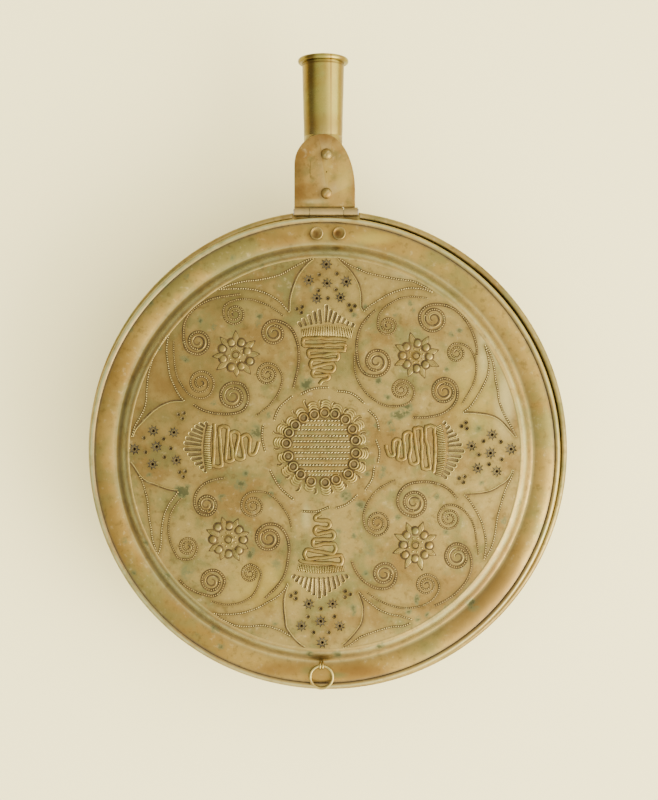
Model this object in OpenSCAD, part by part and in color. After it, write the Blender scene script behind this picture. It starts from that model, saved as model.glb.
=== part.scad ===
// Bed warming pan: a round sheet-brass coal pan with a hinged, pierced lid and a turned socket
// for a wooden handle. Millimetres, +Z up. The origin is the centre of the pan's flat base, the
// handle socket points along +Y and the lid's lift ring is at -Y.

/* [Pan] */
// Overall radius of the pan at its rolled rim
pan_r = 152.4; // [148:0.1:158]
// Height of the rim above the base
pan_h = 70; // [66:1:80]
// Radius of the flat base
base_r = 108; // [100:1:110]
// Radius of the bend from base to wall
bend_r = 26; // [20:1:30]
// Lean of the wall outward from upright
wall_lean = 14; // [12:0.5:15]
// Thickness of the pan's sheet
pan_t = 1.2; // [0.8:0.1:1.4]
// Outer radius of the pan's rolled rim
pan_roll_r = 2.5; // [2.3:0.1:2.8]

/* [Lid] */
// Overall radius of the lid at its rolled edge
lid_r = 149.3; // [148.5:0.1:149.3]
// How far the lid sits to the left of the pan's centre
lid_left = 2; // [0:0.1:2]
// How far the lid sits in front of the pan's centre
lid_front = 1.6; // [1.6:0.1:2.5]
// Radius of the raised field
field_r = 123.5; // [120:0.5:125]
// Radius of the groove at the foot of the field's moulding
foot_r = 132; // [130:0.1:132.5]
// Height of the moulding between flange and field
moulding_h = 5.8; // [4:0.1:7]
// Rise of the domed field from its edge to its centre
dome_h = 7; // [4:0.5:9]
// Rise of the flange's rounded crown
crown_h = 1.5; // [0.8:0.1:1.6]
// Thickness of the lid's sheet
lid_t = 0.8; // [0.6:0.1:0.9]
// Outer radius of the lid's rolled edge
lid_roll_r = 2.1; // [1.9:0.1:2.2]
// Radius of the hole in the middle of each star
star_hole_r = 1.1; // [0.7:0.1:1.3]
// Radius of the plain holes
dot_hole_r = 1; // [0.7:0.1:1.2]
// Radius of the small holes that stand in threes
trefoil_hole_r = 1; // [0.7:0.1:1.2]

/* [Hinge] */
// Distance of the hinge axis behind the pan's centre
hinge_y = 150.9; // [150.9:0.1:151.5]
// Outer radius of the hinge barrel
barrel_r = 2.8; // [2.5:0.1:2.8]
// Radius of the hinge pin
pin_r = 1.3; // [1:0.1:1.5]
// Running clearance of the moving knuckle on its pin
pin_play = 0.06; // [0.03:0.01:0.1]
// Thickness of the hinge plate
plate_t = 1.5; // [1.2:0.1:1.8]
// Distance of the hinge plate's round end behind the pan's centre
plate_end_y = 200.6; // [198:0.1:202]
// Thickness of the hinge leaf under the lid
leaf_t = 0.8; // [0.6:0.1:0.8]

/* [Socket] */
// Radius of the bore that takes the wooden handle
bore_r = 11; // [10:0.1:11.2]
// Depth of that bore
bore_depth = 50; // [45:1:50]
// Outer radius of the socket at its neck
neck_r = 12.4; // [12.2:0.1:12.6]
// Outer radius of the socket just behind its bead
mouth_r = 13.6; // [13:0.1:14.5]
// Outer radius of the bead round the mouth
bead_r = 16.3; // [15.5:0.1:17]
// Distance of the mouth behind the pan's centre
mouth_y = 251.5; // [251.5:0.5:256]

/* [Lift ring] */
// Mean radius of the lift ring
ring_r = 7.1; // [7:0.1:8]
// Radius of the ring's wire
ring_wire_r = 0.95; // [0.8:0.05:1]
// Radius of the staple's wire
staple_wire_r = 0.6; // [0.5:0.05:0.65]

/* [Hidden] */
$fn = 64;

BRASS = "#b08d4f";
OLD_BRASS = "#a3824a";
PALE_BRASS = "#c9b273";
IRON = "#4a4541";
gap = 0.3;              // between bodies that move past each other
seam = 0.1;             // between a turned surface and a formed one that is fixed to it
play = 0.05;            // round a wire in its roll
far = 400;

// Rolled rims
pan_roll_at = [pan_r - pan_roll_r, pan_h - pan_roll_r];
lid_roll_at = [lid_r - lid_roll_r, pan_h + gap + lid_roll_r];
lid_at = [-lid_left, -lid_front, 0];

// Lid heights: the roll stands 1 mm proud of the flange's end, the field well above the flange
flange_z = lid_roll_at[1] + lid_roll_r - 1;
flange_end_r = lid_roll_at[0] - 1.6;
field_z = flange_z + moulding_h;
dome_r = (field_r * field_r + dome_h * dome_h) / (2 * dome_h);

// Pierced work on the lid's field, as places [x, y] on the pan's axes
STARS = [[-1, 117], [-12, 107], [-0.5, 105], [11.5, 106], [-7, 95.5], [8, 96],
    [-121.5, 1], [-109.5, 12.5], [-96.5, 11.5], [-107.5, 2.5], [-110, -8.5], [-95, -6],
    [115, 1], [103, 10], [90, 3], [102, -1.5], [94, -11], [106, -13],
    [-3.5, -120.5], [-16.5, -110], [7.5, -110], [-4.5, -107], [-12, -96], [3, -96]];
DOTS = [[-5.5, 110.5], [5.5, 111], [-6, 100.5], [5, 101], [0, 95.5],
    [-115.5, 8], [-103, 7.5], [-98.5, 1.5], [-114.5, -1], [-102.5, -4],
    [97.5, 6], [108.5, 5.5], [94.5, -2.5], [109, -5.5], [101, -8.5],
    [-9, -114], [0.5, -114], [-12.5, -104], [4, -104], [-4.5, -99]];
TREFOILS = [[-17.5, 88.5, 51], [14.8, 90, 20], [-91.7, 22.2, 44], [-91, -14.2, 39],
    [85.7, 15.7, 68], [84.2, -17.7, 46], [-21.2, -90.8, 61], [11.8, -89.8, -2]];
TREFOIL_R = 2.1;        // from the middle of a trefoil to each of its holes

// Hinge: the barrel's underside is level with the leaf's, above a flat filed on the pan's rim
axis_z = pan_h + 0.2 - leaf_t + barrel_r;
notch_z = axis_z - barrel_r - gap;
barrel_left = -21.2;
middle_left = -11.3;
middle_right = 9.9;
barrel_right = 18.9;
plate_z = pan_h + 0.2;
plate_x = -2.7;
plate_left = 18.5;      // half width on the left, which stays straight as far as its shoulder
plate_left_y = 181;
plate_right = 20;
plate_right_y = 165;

// Lid rivets, with flat dished heads on the flange and tails under the leaf
lid_rivet_x = 7.1;
lid_rivet_y = 137;
lid_rivet_head_r = 4.25;
lid_rivet_tail_r = 3.2;
lid_rivet_shank_r = 1.8;

// Socket, bracket and their rivets
handle_x = -3;
socket_z = plate_z - neck_r;
tongue_w = 24;
tongue_t = 6;
tongue_start_y = 153.6;
tongue_end_y = 193;
neck_y = mouth_y - bore_depth;
bead_wire_r = 1.8;
strap_t = 3;
strap_z = plate_z - tongue_t - strap_t;
palm_w = 34;
palm_top_z = strap_z + 0.8;
palm_mid_z = 38;
plate_rivet_x = -0.9;
plate_rivet_y = [162.8, 187.7];
plate_rivet_head_r = 3.6;
plate_rivet_shank_r = 2.2;
palm_rivet_z = [33, 51];
palm_rivet_x = [8, 11];
palm_rivet_shank_r = 2.4;

// Lift ring: it swings on the staple's eye, over the flange's crown
ring_x = -4;
ring_y = -135.8;
ring_z = flange_z + crown_h + ring_wire_r + gap;
eye_r = ring_wire_r + 0.35 + staple_wire_r;
staple_apart = 0.85;
staple_foot_z = flange_z - lid_t - staple_wire_r;
staple_tail = 4;

// Points along an arc
function arc(centre, r, from, to, steps) =
    [for (i = [0:steps]) centre + r * [cos(from + (to - from) * i / steps),
                                       sin(from + (to - from) * i / steps)]];

// Left-hand normal of the stretch from a to b
function normal(a, b) = [a[1] - b[1], b[0] - a[0]] / norm(b - a);

// A line moved sideways by t, mitred at its corners and kept on the right of the axis
function beside(line, t) =
    let (last = len(line) - 1)
    [for (i = [0:last])
        let (n1 = normal(line[max(i - 1, 0)], line[max(i, 1)]),
             n2 = normal(line[min(i, last - 1)], line[min(i + 1, last)]),
             p = line[i] + t * (n1 + n2) / (1 + n1 * n2))
        [max(p[0], 0), p[1]]];

// The section of a sheet that lies t to the left of a line
function sheet(line, t) =
    let (other = beside(line, t))
    concat(line, [for (i = [len(other) - 1:-1:0]) other[i]]);

// Outer line of the pan, from the middle of the base to the rolled rim
wall_foot = [base_r, bend_r] + bend_r * [cos(wall_lean), -sin(wall_lean)];
wall_top_z = pan_h - 6.5;
function wall_r(z) = wall_foot[0] + (z - wall_foot[1]) * tan(wall_lean);
pan_line = concat([[0, 0]], arc([base_r, bend_r], bend_r, -90, -wall_lean, 8),
    [[wall_r(wall_top_z), wall_top_z], pan_roll_at + [-1.7, -1.5]]);

// Top line of the lid, from the middle of the dome to the rolled edge
function dome_z(r) = field_z + dome_h - dome_r + sqrt(dome_r * dome_r - r * r);
function moulding_z(u) = field_z - moulding_h * u * u * (3 - 2 * u);
function crown_z(r) =
    let (half = (flange_end_r - foot_r) / 2)
    flange_z + crown_h * (1 - pow((r - foot_r - half) / half, 2));
lid_line = concat([for (i = [0:6]) [field_r * i / 6, dome_z(field_r * i / 6)]],
    [for (i = [1:7]) [field_r + (foot_r - field_r) * i / 7, moulding_z(i / 7)]],
    [for (i = [1:8]) let (r = foot_r + (flange_end_r - foot_r) * i / 8) [r, crown_z(r)]]);

// A round shank or disc from one height to another
module disc(r, from, to) {
    translate([0, 0, from])
        cylinder(r = r, h = to - from);
}

// A low dome that stands on z = 0
module dome(r, h) {
    ball_r = (r * r + h * h) / (2 * h);
    intersection() {
        translate([0, 0, h - ball_r])
            sphere(r = ball_r);
        cylinder(r = r, h = h);
    }
}

// A straight piece of round wire between two points on a line parallel to X, Y or Z
module along_x(r, from, to) {
    translate([from, 0, 0])
        rotate([0, 90, 0])
            cylinder(r = r, h = to - from);
}

module along_y(r, from, to) {
    translate([0, from, 0])
        rotate([-90, 0, 0])
            cylinder(r = r, h = to - from);
}

// A section drawn in [y, z], carried along X
module carried_along_x(section, from, to) {
    translate([from, 0, 0])
        rotate([90, 0, 90])
            linear_extrude(height = to - from)
                polygon(section);
}

// Where each of the palm's rivets stands on the wall, with +Z out of the wall
module at_palm_rivet(side, row) {
    z = palm_rivet_z[row];
    r = wall_r(z);
    turn = asin((handle_x + side * palm_rivet_x[row]) / r);
    rotate([0, 0, -turn])
        translate([0, r, z])
            rotate([-90 - wall_lean, 0, 0])
                children();
}

module palm_rivet_holes() {
    for (side = [-1, 1], row = [0, 1])
        at_palm_rivet(side, row)
            disc(palm_rivet_shank_r, -8, 8);
}

module palm_rivet(side, row) {
    color(IRON)
        at_palm_rivet(side, row) {
            disc(palm_rivet_shank_r, -pan_t - 0.5, strap_t + 0.5);
            translate([0, 0, strap_t + play])
                dome(4.4, 2.4);
            translate([0, 0, -pan_t - play])
                mirror([0, 0, 1])
                    dome(4, 1.5);
        }
}

module pan_body() {
    color(BRASS)
        difference() {
            rotate_extrude()
                difference() {
                    union() {
                        polygon(sheet(pan_line, pan_t));
                        translate(pan_roll_at)
                            circle(r = pan_roll_r);
                    }
                    translate(pan_roll_at)
                        circle(r = pan_roll_r - pan_t);
                }
            translate([barrel_left - 1.5, pan_r - 12, notch_z])
                cube([barrel_right - barrel_left + 3, 20, 10]);
            palm_rivet_holes();
        }
}

module pan_rim_wire() {
    color(IRON)
        rotate_extrude()
            translate(pan_roll_at)
                circle(r = pan_roll_r - pan_t - play);
}

// Forged strap: a palm on the pan's wall, bent out into a tongue under the socket
module pan_bracket() {
    palm_line = [for (z = [palm_mid_z - palm_w / 2 - 2, palm_top_z]) [wall_r(z), z]];
    color(IRON)
        difference() {
            union() {
                intersection() {
                    rotate_extrude()
                        polygon(sheet(palm_line, -strap_t));
                    translate([handle_x, 0, 0])
                        rotate([90, 0, 180])
                            linear_extrude(height = far)
                                union() {
                                    translate([-palm_w / 2, palm_mid_z])
                                        square([palm_w, far]);
                                    translate([0, palm_mid_z])
                                        circle(r = palm_w / 2);
                                }
                }
                carried_along_x([[146, strap_z + strap_t], [146, strap_z - 8], [147.2, strap_z - 8],
                    [155, strap_z], [180, strap_z], [180, strap_z + strap_t]],
                    handle_x - tongue_w / 2, handle_x + tongue_w / 2);
                translate([handle_x, 180, strap_z])
                    cylinder(r = tongue_w / 2, h = strap_t);
            }
            palm_rivet_holes();
            plate_rivet_holes();
        }
}

module bracket_rivet_upper_left() {
    palm_rivet(-1, 1);
}

module bracket_rivet_upper_right() {
    palm_rivet(1, 1);
}

module bracket_rivet_lower_left() {
    palm_rivet(-1, 0);
}

module bracket_rivet_lower_right() {
    palm_rivet(1, 0);
}

module plate_rivet_holes() {
    for (y = plate_rivet_y)
        translate([plate_rivet_x, y, 0])
            disc(plate_rivet_shank_r, 0, pan_h + 20);
}

module plate_rivet(y) {
    color(OLD_BRASS)
        translate([plate_rivet_x, y, 0]) {
            disc(plate_rivet_shank_r, strap_z - 0.5, plate_z + plate_t + 0.5);
            translate([0, 0, plate_z + plate_t])
                dome(plate_rivet_head_r, 2);
            disc(plate_rivet_head_r, strap_z - 1.5, strap_z);
        }
}

module plate_rivet_inner() {
    plate_rivet(plate_rivet_y[0]);
}

module plate_rivet_outer() {
    plate_rivet(plate_rivet_y[1]);
}

// Cast and turned socket: tapered tube, bead at the mouth, flat tongue under the hinge plate
module handle_socket() {
    bead_y = mouth_y - bead_wire_r;
    color(PALE_BRASS)
        difference() {
            union() {
                translate([handle_x, 0, socket_z]) {
                    translate([0, neck_y - 0.5, 0])
                        rotate([-90, 0, 0])
                            cylinder(r1 = neck_r, r2 = mouth_r, h = bead_y - neck_y + 0.5);
                    translate([0, bead_y, 0])
                        rotate([-90, 0, 0])
                            rotate_extrude()
                                union() {
                                    translate([bead_r - bead_wire_r, 0])
                                        circle(r = bead_wire_r);
                                    translate([0, -bead_wire_r])
                                        square([bead_r - bead_wire_r, 2 * bead_wire_r]);
                                }
                }
                hull() {
                    translate([handle_x, neck_y - 0.5, socket_z])
                        rotate([90, 0, 0])
                            cylinder(r = neck_r, h = 1.5);
                    translate([handle_x - tongue_w / 2, tongue_end_y - 1, plate_z - tongue_t])
                        cube([tongue_w, 1, tongue_t]);
                }
                translate([handle_x - tongue_w / 2, tongue_start_y, plate_z - tongue_t])
                    cube([tongue_w, tongue_end_y - tongue_start_y, tongue_t]);
            }
            translate([handle_x, 0, socket_z])
                along_y(bore_r, neck_y, mouth_y + 5);
            plate_rivet_holes();
        }
}

// Half of the hinge plate's outline: straight to its shoulder, then a quarter ellipse to the end
function plate_half(side, half, shoulder_y) =
    [for (i = [0:12]) let (a = 90 * i / 12)
        [plate_x + side * half * cos(a), shoulder_y + (plate_end_y - shoulder_y) * sin(a)]];

// Fixed leaf: an arched plate with the two outer knuckles
module hinge_plate() {
    right_side = plate_half(1, plate_right, plate_right_y);
    left_side = plate_half(-1, plate_left, plate_left_y);
    root = [[plate_x - plate_left, hinge_y], [plate_x + plate_right, hinge_y]];
    color(OLD_BRASS)
        difference() {
            union() {
                translate([0, 0, plate_z])
                    linear_extrude(height = plate_t)
                        intersection() {
                            polygon(concat(root, right_side,
                                [for (i = [len(left_side) - 2:-1:0]) left_side[i]]));
                            translate([barrel_left, hinge_y])
                                square([barrel_right - barrel_left, far]);
                        }
                translate([0, hinge_y, axis_z]) {
                    along_x(barrel_r, barrel_left, middle_left - gap);
                    along_x(barrel_r, middle_right + gap, barrel_right);
                }
            }
            translate([middle_left - gap, hinge_y - barrel_r - 1, plate_z - 5])
                cube([middle_right - middle_left + 2 * gap, 2 * barrel_r + 1.5, 20]);
            translate([0, hinge_y, axis_z])
                along_x(pin_r, barrel_left - 1, barrel_right + 1);
            plate_rivet_holes();
        }
}

module hinge_pin() {
    head_t = 0.6;
    color(IRON)
        translate([0, hinge_y, axis_z]) {
            along_x(pin_r, barrel_left - 0.2, barrel_right + 0.2);
            along_x(pin_r + 0.7, barrel_left - head_t, barrel_left);
            along_x(pin_r + 0.7, barrel_right, barrel_right + head_t);
        }
}

// The lid's sheet and rolled edge before anything is pierced, on its own centre
module lid_blank() {
    difference() {
        union() {
            rotate_extrude()
                polygon(sheet(lid_line, -lid_t));
            rotate_extrude()
                translate(lid_roll_at)
                    circle(r = lid_roll_r);
        }
        rotate_extrude()
            translate(lid_roll_at)
                circle(r = lid_roll_r - lid_t);
    }
}

module pierced_work() {
    for (p = STARS)
        translate(p)
            disc(star_hole_r, pan_h, pan_h + 30);
    for (p = DOTS)
        translate(p)
            disc(dot_hole_r, pan_h, pan_h + 30);
    for (t = TREFOILS, a = [0, 120, 240])
        translate([t[0], t[1], 0] + TREFOIL_R * [cos(t[2] + a), sin(t[2] + a), 0])
            disc(trefoil_hole_r, pan_h, pan_h + 30);
}

module staple_holes() {
    for (side = [-1, 1], end = [-1, 1])
        translate([ring_x + side * staple_apart, ring_y + end * eye_r, 0])
            disc(staple_wire_r, pan_h, pan_h + 30);
}

module lid() {
    color(BRASS)
        difference() {
            translate(lid_at)
                lid_blank();
            pierced_work();
            staple_holes();
            lid_rivet_shanks(pan_h, pan_h + 20);
        }
}

module lid_rim_wire() {
    color(IRON)
        translate(lid_at)
            rotate_extrude()
                translate(lid_roll_at)
                    circle(r = lid_roll_r - lid_t - play);
}

module lid_rivet_shanks(from, to) {
    for (side = [-1, 1])
        translate([side * lid_rivet_x, lid_rivet_y, 0])
            disc(lid_rivet_shank_r, from, to);
}

// Under side of the lid's flange at a distance y behind the pan's centre
function under_flange(y) = crown_z(y + lid_front) - lid_t - seam;

// Moving leaf: it follows the flange, steps down under the rolled edge and curls round the pin
module hinge_leaf() {
    step_y = lid_roll_at[0] - lid_front - lid_roll_r - 1.8;
    flange_y = [for (i = [0:6]) 131.2 + (step_y - 131.2) * i / 6];
    top = concat([for (y = flange_y) [y, under_flange(y)]],
        [[step_y + 2.2, pan_h + 0.2], [hinge_y, pan_h + 0.2]]);
    section = sheet(top, -leaf_t);
    inside_w = 12;
    color(OLD_BRASS)
        difference() {
            union() {
                carried_along_x(section, middle_left, middle_right);
                intersection() {
                    carried_along_x(section, -inside_w, inside_w);
                    translate([-inside_w, 100, pan_h - 5])
                        cube([2 * inside_w, step_y - 101, 20]);
                }
                translate([0, hinge_y, axis_z])
                    along_x(barrel_r, middle_left, middle_right);
            }
            translate([0, hinge_y, axis_z])
                along_x(pin_r + pin_play, middle_left - 1, middle_right + 1);
            lid_rivet_shanks(pan_h - 5, pan_h + 20);
        }
}

// Flat head with a raised lip, seated on the curved flange, and a tail under the leaf
module lid_rivet(side) {
    crown = flange_z + crown_h;
    color(OLD_BRASS)
        translate([side * lid_rivet_x, lid_rivet_y, 0]) {
            difference() {
                disc(lid_rivet_head_r, crown - 0.9, crown + 1.1);
                disc(lid_rivet_head_r - 0.8, crown + 0.7, crown + 2);
                translate([-side * lid_rivet_x - lid_left, -lid_rivet_y - lid_front, 0])
                    rotate_extrude()
                        polygon(sheet(lid_line, -5));
            }
            disc(lid_rivet_shank_r, crown - lid_t - leaf_t - 0.8, crown + 0.4);
            disc(lid_rivet_tail_r, crown - lid_t - leaf_t - 1.9, crown - lid_t - leaf_t - 0.7);
        }
}

module lid_rivet_left() {
    lid_rivet(-1);
}

module lid_rivet_right() {
    lid_rivet(1);
}

// A half turn of wire that stands over the X axis
module arch(r, wire_r) {
    rotate([90, 0, 90])
        rotate_extrude(angle = 180)
            translate([r, 0])
                circle(r = wire_r);
}

// Hairpin of wire: two strands arch over the ring, pass the flange and turn out beneath it
module ring_staple() {
    color(PALE_BRASS)
        translate([ring_x, ring_y, 0]) {
            for (side = [-1, 1])
                translate([side * staple_apart, 0, 0]) {
                    translate([0, 0, ring_z])
                        arch(eye_r, staple_wire_r);
                    for (end = [-1, 1])
                        translate([0, end * eye_r, 0])
                            disc(staple_wire_r, staple_foot_z, ring_z);
                    for (end = [-1, 1])
                        translate([0, end * eye_r, staple_foot_z])
                            sphere(r = staple_wire_r);
                    translate([0, 0, staple_foot_z]) {
                        along_y(staple_wire_r, eye_r, eye_r + staple_tail);
                        along_y(staple_wire_r, -eye_r - staple_tail, -eye_r);
                    }
                }
            translate([0, -eye_r - staple_tail, staple_foot_z])
                rotate([0, 0, 180])
                    rotate_extrude(angle = 180)
                        translate([staple_apart, 0])
                            circle(r = staple_wire_r);
        }
}

module lift_ring() {
    color(PALE_BRASS)
        translate([ring_x, ring_y - ring_r, ring_z])
            rotate_extrude()
                translate([ring_r, 0])
                    circle(r = ring_wire_r);
}

pan_body();
pan_rim_wire();
pan_bracket();
bracket_rivet_upper_left();
bracket_rivet_upper_right();
bracket_rivet_lower_left();
bracket_rivet_lower_right();
handle_socket();
hinge_plate();
plate_rivet_inner();
plate_rivet_outer();
hinge_pin();
lid();
lid_rim_wire();
hinge_leaf();
lid_rivet_left();
lid_rivet_right();
ring_staple();
lift_ring();
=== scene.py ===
import math

import bpy
import numpy as np
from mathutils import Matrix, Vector, noise
from mathutils.kdtree import KDTree


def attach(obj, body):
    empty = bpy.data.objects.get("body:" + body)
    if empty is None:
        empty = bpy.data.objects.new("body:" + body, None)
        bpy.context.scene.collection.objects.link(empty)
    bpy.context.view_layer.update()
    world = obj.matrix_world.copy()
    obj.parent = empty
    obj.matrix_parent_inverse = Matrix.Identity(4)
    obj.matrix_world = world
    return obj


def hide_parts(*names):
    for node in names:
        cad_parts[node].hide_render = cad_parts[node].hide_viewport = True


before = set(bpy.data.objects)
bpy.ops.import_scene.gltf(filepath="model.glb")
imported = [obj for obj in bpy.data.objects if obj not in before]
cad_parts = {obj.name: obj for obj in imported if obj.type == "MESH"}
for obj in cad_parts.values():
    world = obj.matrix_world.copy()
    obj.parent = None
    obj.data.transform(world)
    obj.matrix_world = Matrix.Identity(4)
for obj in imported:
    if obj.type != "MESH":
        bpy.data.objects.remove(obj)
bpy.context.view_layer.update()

# A brass bed warming pan. Sizes here are millimetres on the pan's own axes, as in its source;
# MM turns them into metres where a mesh is made.
MM = 0.001

# Lid: centre, radii and heights
LID_X, LID_Y = -2.0, -1.6
FIELD_R = 123.5
FIELD_END_R = 123.1     # where the field's own sheet ends, inside the flange's first ridge
FOOT_R = 132.0
FLANGE_END_R = 145.6
FLANGE_Z = 73.5
FIELD_Z = 79.3
CROWN_RISE = 1.5
DOME_RISE = 5.8
LID_SHEET = 0.8
STILL_EDGE = 12.0       # the field's outermost band, where its unevenness dies away
LID_ROLL = (147.2, 72.4, 2.1)

# Pan: radii and heights
PAN_SHEET = 1.2
PAN_ROLL = (149.84, 67.5, 2.5)
BASE_R = 108.0
BEND_R = 26.0
WALL_LEAN = math.radians(14)

# Hinge: its pin, its barrel in three knuckles, its plate and the rivets
HINGE_Y, HINGE_Z = 150.9, 72.2
BARREL_R, PIN_R = 2.8, 1.3
BARREL_LEFT, BARREL_RIGHT = -21.2, 18.9
GAP_LEFT, GAP_RIGHT = -11.6, 10.2
PLATE_X, PLATE_END_Y = -2.7, 200.6
PLATE_Z, PLATE_T = 70.2, 1.5
PLATE_RIVET_X = -0.9
PLATE_RIVETS_Y = {"inner": 162.8, "outer": 187.7}
RIVET_SHANK_R = 2.2
LID_RIVETS_X = {"left": -7.1, "right": 7.1}
LID_RIVET_Y = 137.0

# Pierced work: the middles of the stars, the plain holes and the groups of three
STAR_POINTS = 8
STARS = [(-1, 117), (-12, 107), (-0.5, 105), (11.5, 106), (-7, 95.5), (8, 96),
    (-121.5, 1), (-109.5, 12.5), (-96.5, 11.5), (-107.5, 2.5), (-110, -8.5), (-95, -6),
    (115, 1), (103, 10), (90, 3), (102, -1.5), (94, -11), (106, -13),
    (-3.5, -120.5), (-16.5, -110), (7.5, -110), (-4.5, -107), (-12, -96), (3, -96)]
PLAIN_HOLES = [(-5.5, 110.5), (5.5, 111), (-6, 100.5), (5, 101), (0, 95.5),
    (-115.5, 8), (-103, 7.5), (-98.5, 1.5), (-114.5, -1), (-102.5, -4),
    (97.5, 6), (108.5, 5.5), (94.5, -2.5), (109, -5.5), (101, -8.5),
    (-9, -114), (0.5, -114), (-12.5, -104), (4, -104), (-4.5, -99)]
TREFOILS = [(-17.5, 88.5, 51), (14.8, 90, 20), (-91.7, 22.2, 44), (-91, -14.2, 39),
    (85.7, 15.7, 68), (84.2, -17.7, 46), (-21.2, -90.8, 61), (11.8, -89.8, -2)]
TREFOIL_R = 2.1

# Chased work: the lines of the lid's folk ornament, each as a few places on its path
SPANDREL_LINES = {
    "top_left": [
        [(-9.4, 120.9), (-12.4, 118.5), (-15.9, 114.7), (-19.3, 109.9), (-21.6, 104.5),
            (-23.5, 98.3), (-24.3, 93.2), (-24.5, 87.1)],
        [(-9.4, 120.9), (-14.2, 118.9), (-21, 115.4), (-29.5, 110.6), (-37.5, 108.3),
            (-44.8, 107), (-52, 106.3), (-58.3, 104.9), (-63.3, 103.4), (-68.3, 101.3)],
        [(-68.3, 101.2), (-59.1, 101.6), (-49.5, 101.4), (-42.3, 99.9), (-36, 97.2),
            (-30.3, 93.4), (-26.5, 89.4), (-24.5, 87.1)],
    ],
    "top_right": [
        [(6.7, 121.2), (9.4, 118.1), (12.9, 115), (15.9, 111.4), (19.1, 106.1), (20.8, 100.8),
            (21.4, 95.5), (21.4, 90.2), (23, 87.6)],
        [(6.7, 121.2), (11.1, 118.1), (15.5, 115.4), (20, 113.6), (24.4, 111.7), (29.2, 110.5),
            (35.4, 109.2), (41.9, 107.9), (48.6, 107), (53.9, 106.2), (58.7, 104), (65.3, 99.9)],
        [(65.3, 99.3), (61.8, 100.9), (57.4, 101.8), (50.8, 102), (44.1, 100.4), (37.5, 97.7),
            (30.9, 93.7), (25.6, 90.2), (23, 87.6)],
    ],
    "right_upper": [
        [(118.1, 9), (113.7, 13.8), (110, 17.9), (105.8, 21.1), (100.6, 22.9), (95.3, 23.7),
            (90.1, 24.2), (84.9, 24.2)],
        [(118.1, 9.1), (114.7, 15.9), (111.6, 21.1), (109, 26.8), (107.4, 32), (106.7, 37.7),
            (105.3, 44.5), (104.6, 50.8), (103.3, 57), (101.3, 62.2), (98.9, 66.1)],
        [(98.9, 65.9), (100.7, 58.6), (101.2, 52.8), (100.1, 46.6), (98.5, 42.9), (95.9, 37.7),
            (92.7, 32.5), (89, 27.4), (84.9, 24.2)],
    ],
    "right_lower": [
        [(116.7, -12.3), (114.9, -16.5), (111.9, -20), (107.6, -22.7), (103.4, -25.1),
            (97.9, -26.6), (91.9, -27.2), (85.6, -27.4)],
        [(116.7, -12.4), (114.9, -17.2), (113.1, -21), (111.2, -25.4), (109.5, -30.8),
            (108, -36.2), (106.5, -41.7), (105.6, -47.7), (104.7, -53.7), (103.5, -58.5), (101.7, -63.3),
            (98.1, -68.1)],
        [(98.1, -68.1), (99, -62.7), (99.2, -56.7), (98.3, -51.3), (96.8, -45.8), (94.4, -40.4),
            (91.3, -34.9), (88.3, -30.7), (85.6, -27.7)],
    ],
    "bottom_right": [
        [(9.9, -122.4), (13.9, -118.5), (18.8, -112.7), (21.4, -108.3), (22.5, -102.9),
            (22.3, -97.1), (20.5, -91.3), (19.2, -88.4)],
        [(9.9, -124), (13.9, -122.1), (20.5, -117.2), (27.2, -114.5), (33.8, -112.3),
            (40.4, -110.6), (47, -110.2), (51.4, -108.5)],
        [(52.2, -106), (45.6, -103.9), (38.6, -102.5), (32.9, -100.2), (28, -96.7),
            (23.6, -93.1), (19.4, -88.5)],
    ],
    "bottom_left": [
        [(-14.6, -123.9), (-17.5, -122), (-21, -118.8), (-24.2, -114.7), (-26.5, -110.7),
            (-27.3, -104.6), (-27.9, -98.5), (-27.9, -93.2), (-26.9, -88.4), (-25.3, -83.3)],
        [(-24.2, -116), (-28.6, -113.5), (-32.2, -111.9), (-36.1, -110.7), (-40.2, -109.7),
            (-44.2, -109.9), (-50.2, -110.5), (-56.2, -110.2), (-60.2, -109.2), (-64.3, -107.2),
            (-67.8, -105.2), (-71.5, -102.4)],
        [(-71.5, -102.3), (-68.3, -102.8), (-60.2, -102.7), (-52.2, -101.5), (-44.1, -98.6),
            (-38.1, -95.3), (-32.1, -91.7), (-27.3, -87.2), (-25.3, -83.4)],
    ],
    "left_lower": [
        [(-124.4, -7.6), (-121.8, -10.9), (-118.2, -16.3), (-113.8, -19.8), (-108.8, -21.6),
            (-102.9, -23.7), (-98.3, -25), (-94.2, -25.5)],
        [(-118.2, -16.3), (-116.7, -18.8), (-114.9, -24.6), (-113.2, -31.8), (-112.4, -41.1),
            (-111, -49.1), (-110, -56.3), (-107.5, -63.9)],
        [(-106.4, -64.3), (-104.9, -59.2), (-104.5, -51.9), (-103.7, -45.4), (-102.2, -38.9),
            (-99.3, -33.1), (-96.4, -29.3), (-94, -25.9)],
    ],
    "left_upper": [
        [(-123.2, 9.1), (-121.1, 13.8), (-116.9, 18.4), (-112.7, 22.7), (-108.5, 26.3),
            (-103.3, 29.4), (-97, 31.4), (-90.2, 31.5)],
        [(-123.2, 9.1), (-121.1, 15.4), (-118, 21.1), (-115.4, 25.7), (-114.1, 31.5),
            (-113.8, 37.2), (-113.3, 43.4), (-112.5, 48.6), (-111.2, 53.9), (-109.2, 59.6), (-105.5, 65.4),
            (-102.4, 70.6), (-99.8, 73)],
        [(-100.1, 72.7), (-101.1, 66.4), (-101.1, 60.1), (-100.2, 53.8), (-99.2, 47.6),
            (-97.1, 42.4), (-94.9, 37.7), (-92.3, 33.6), (-90.2, 31.5)],
    ],
}
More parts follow.
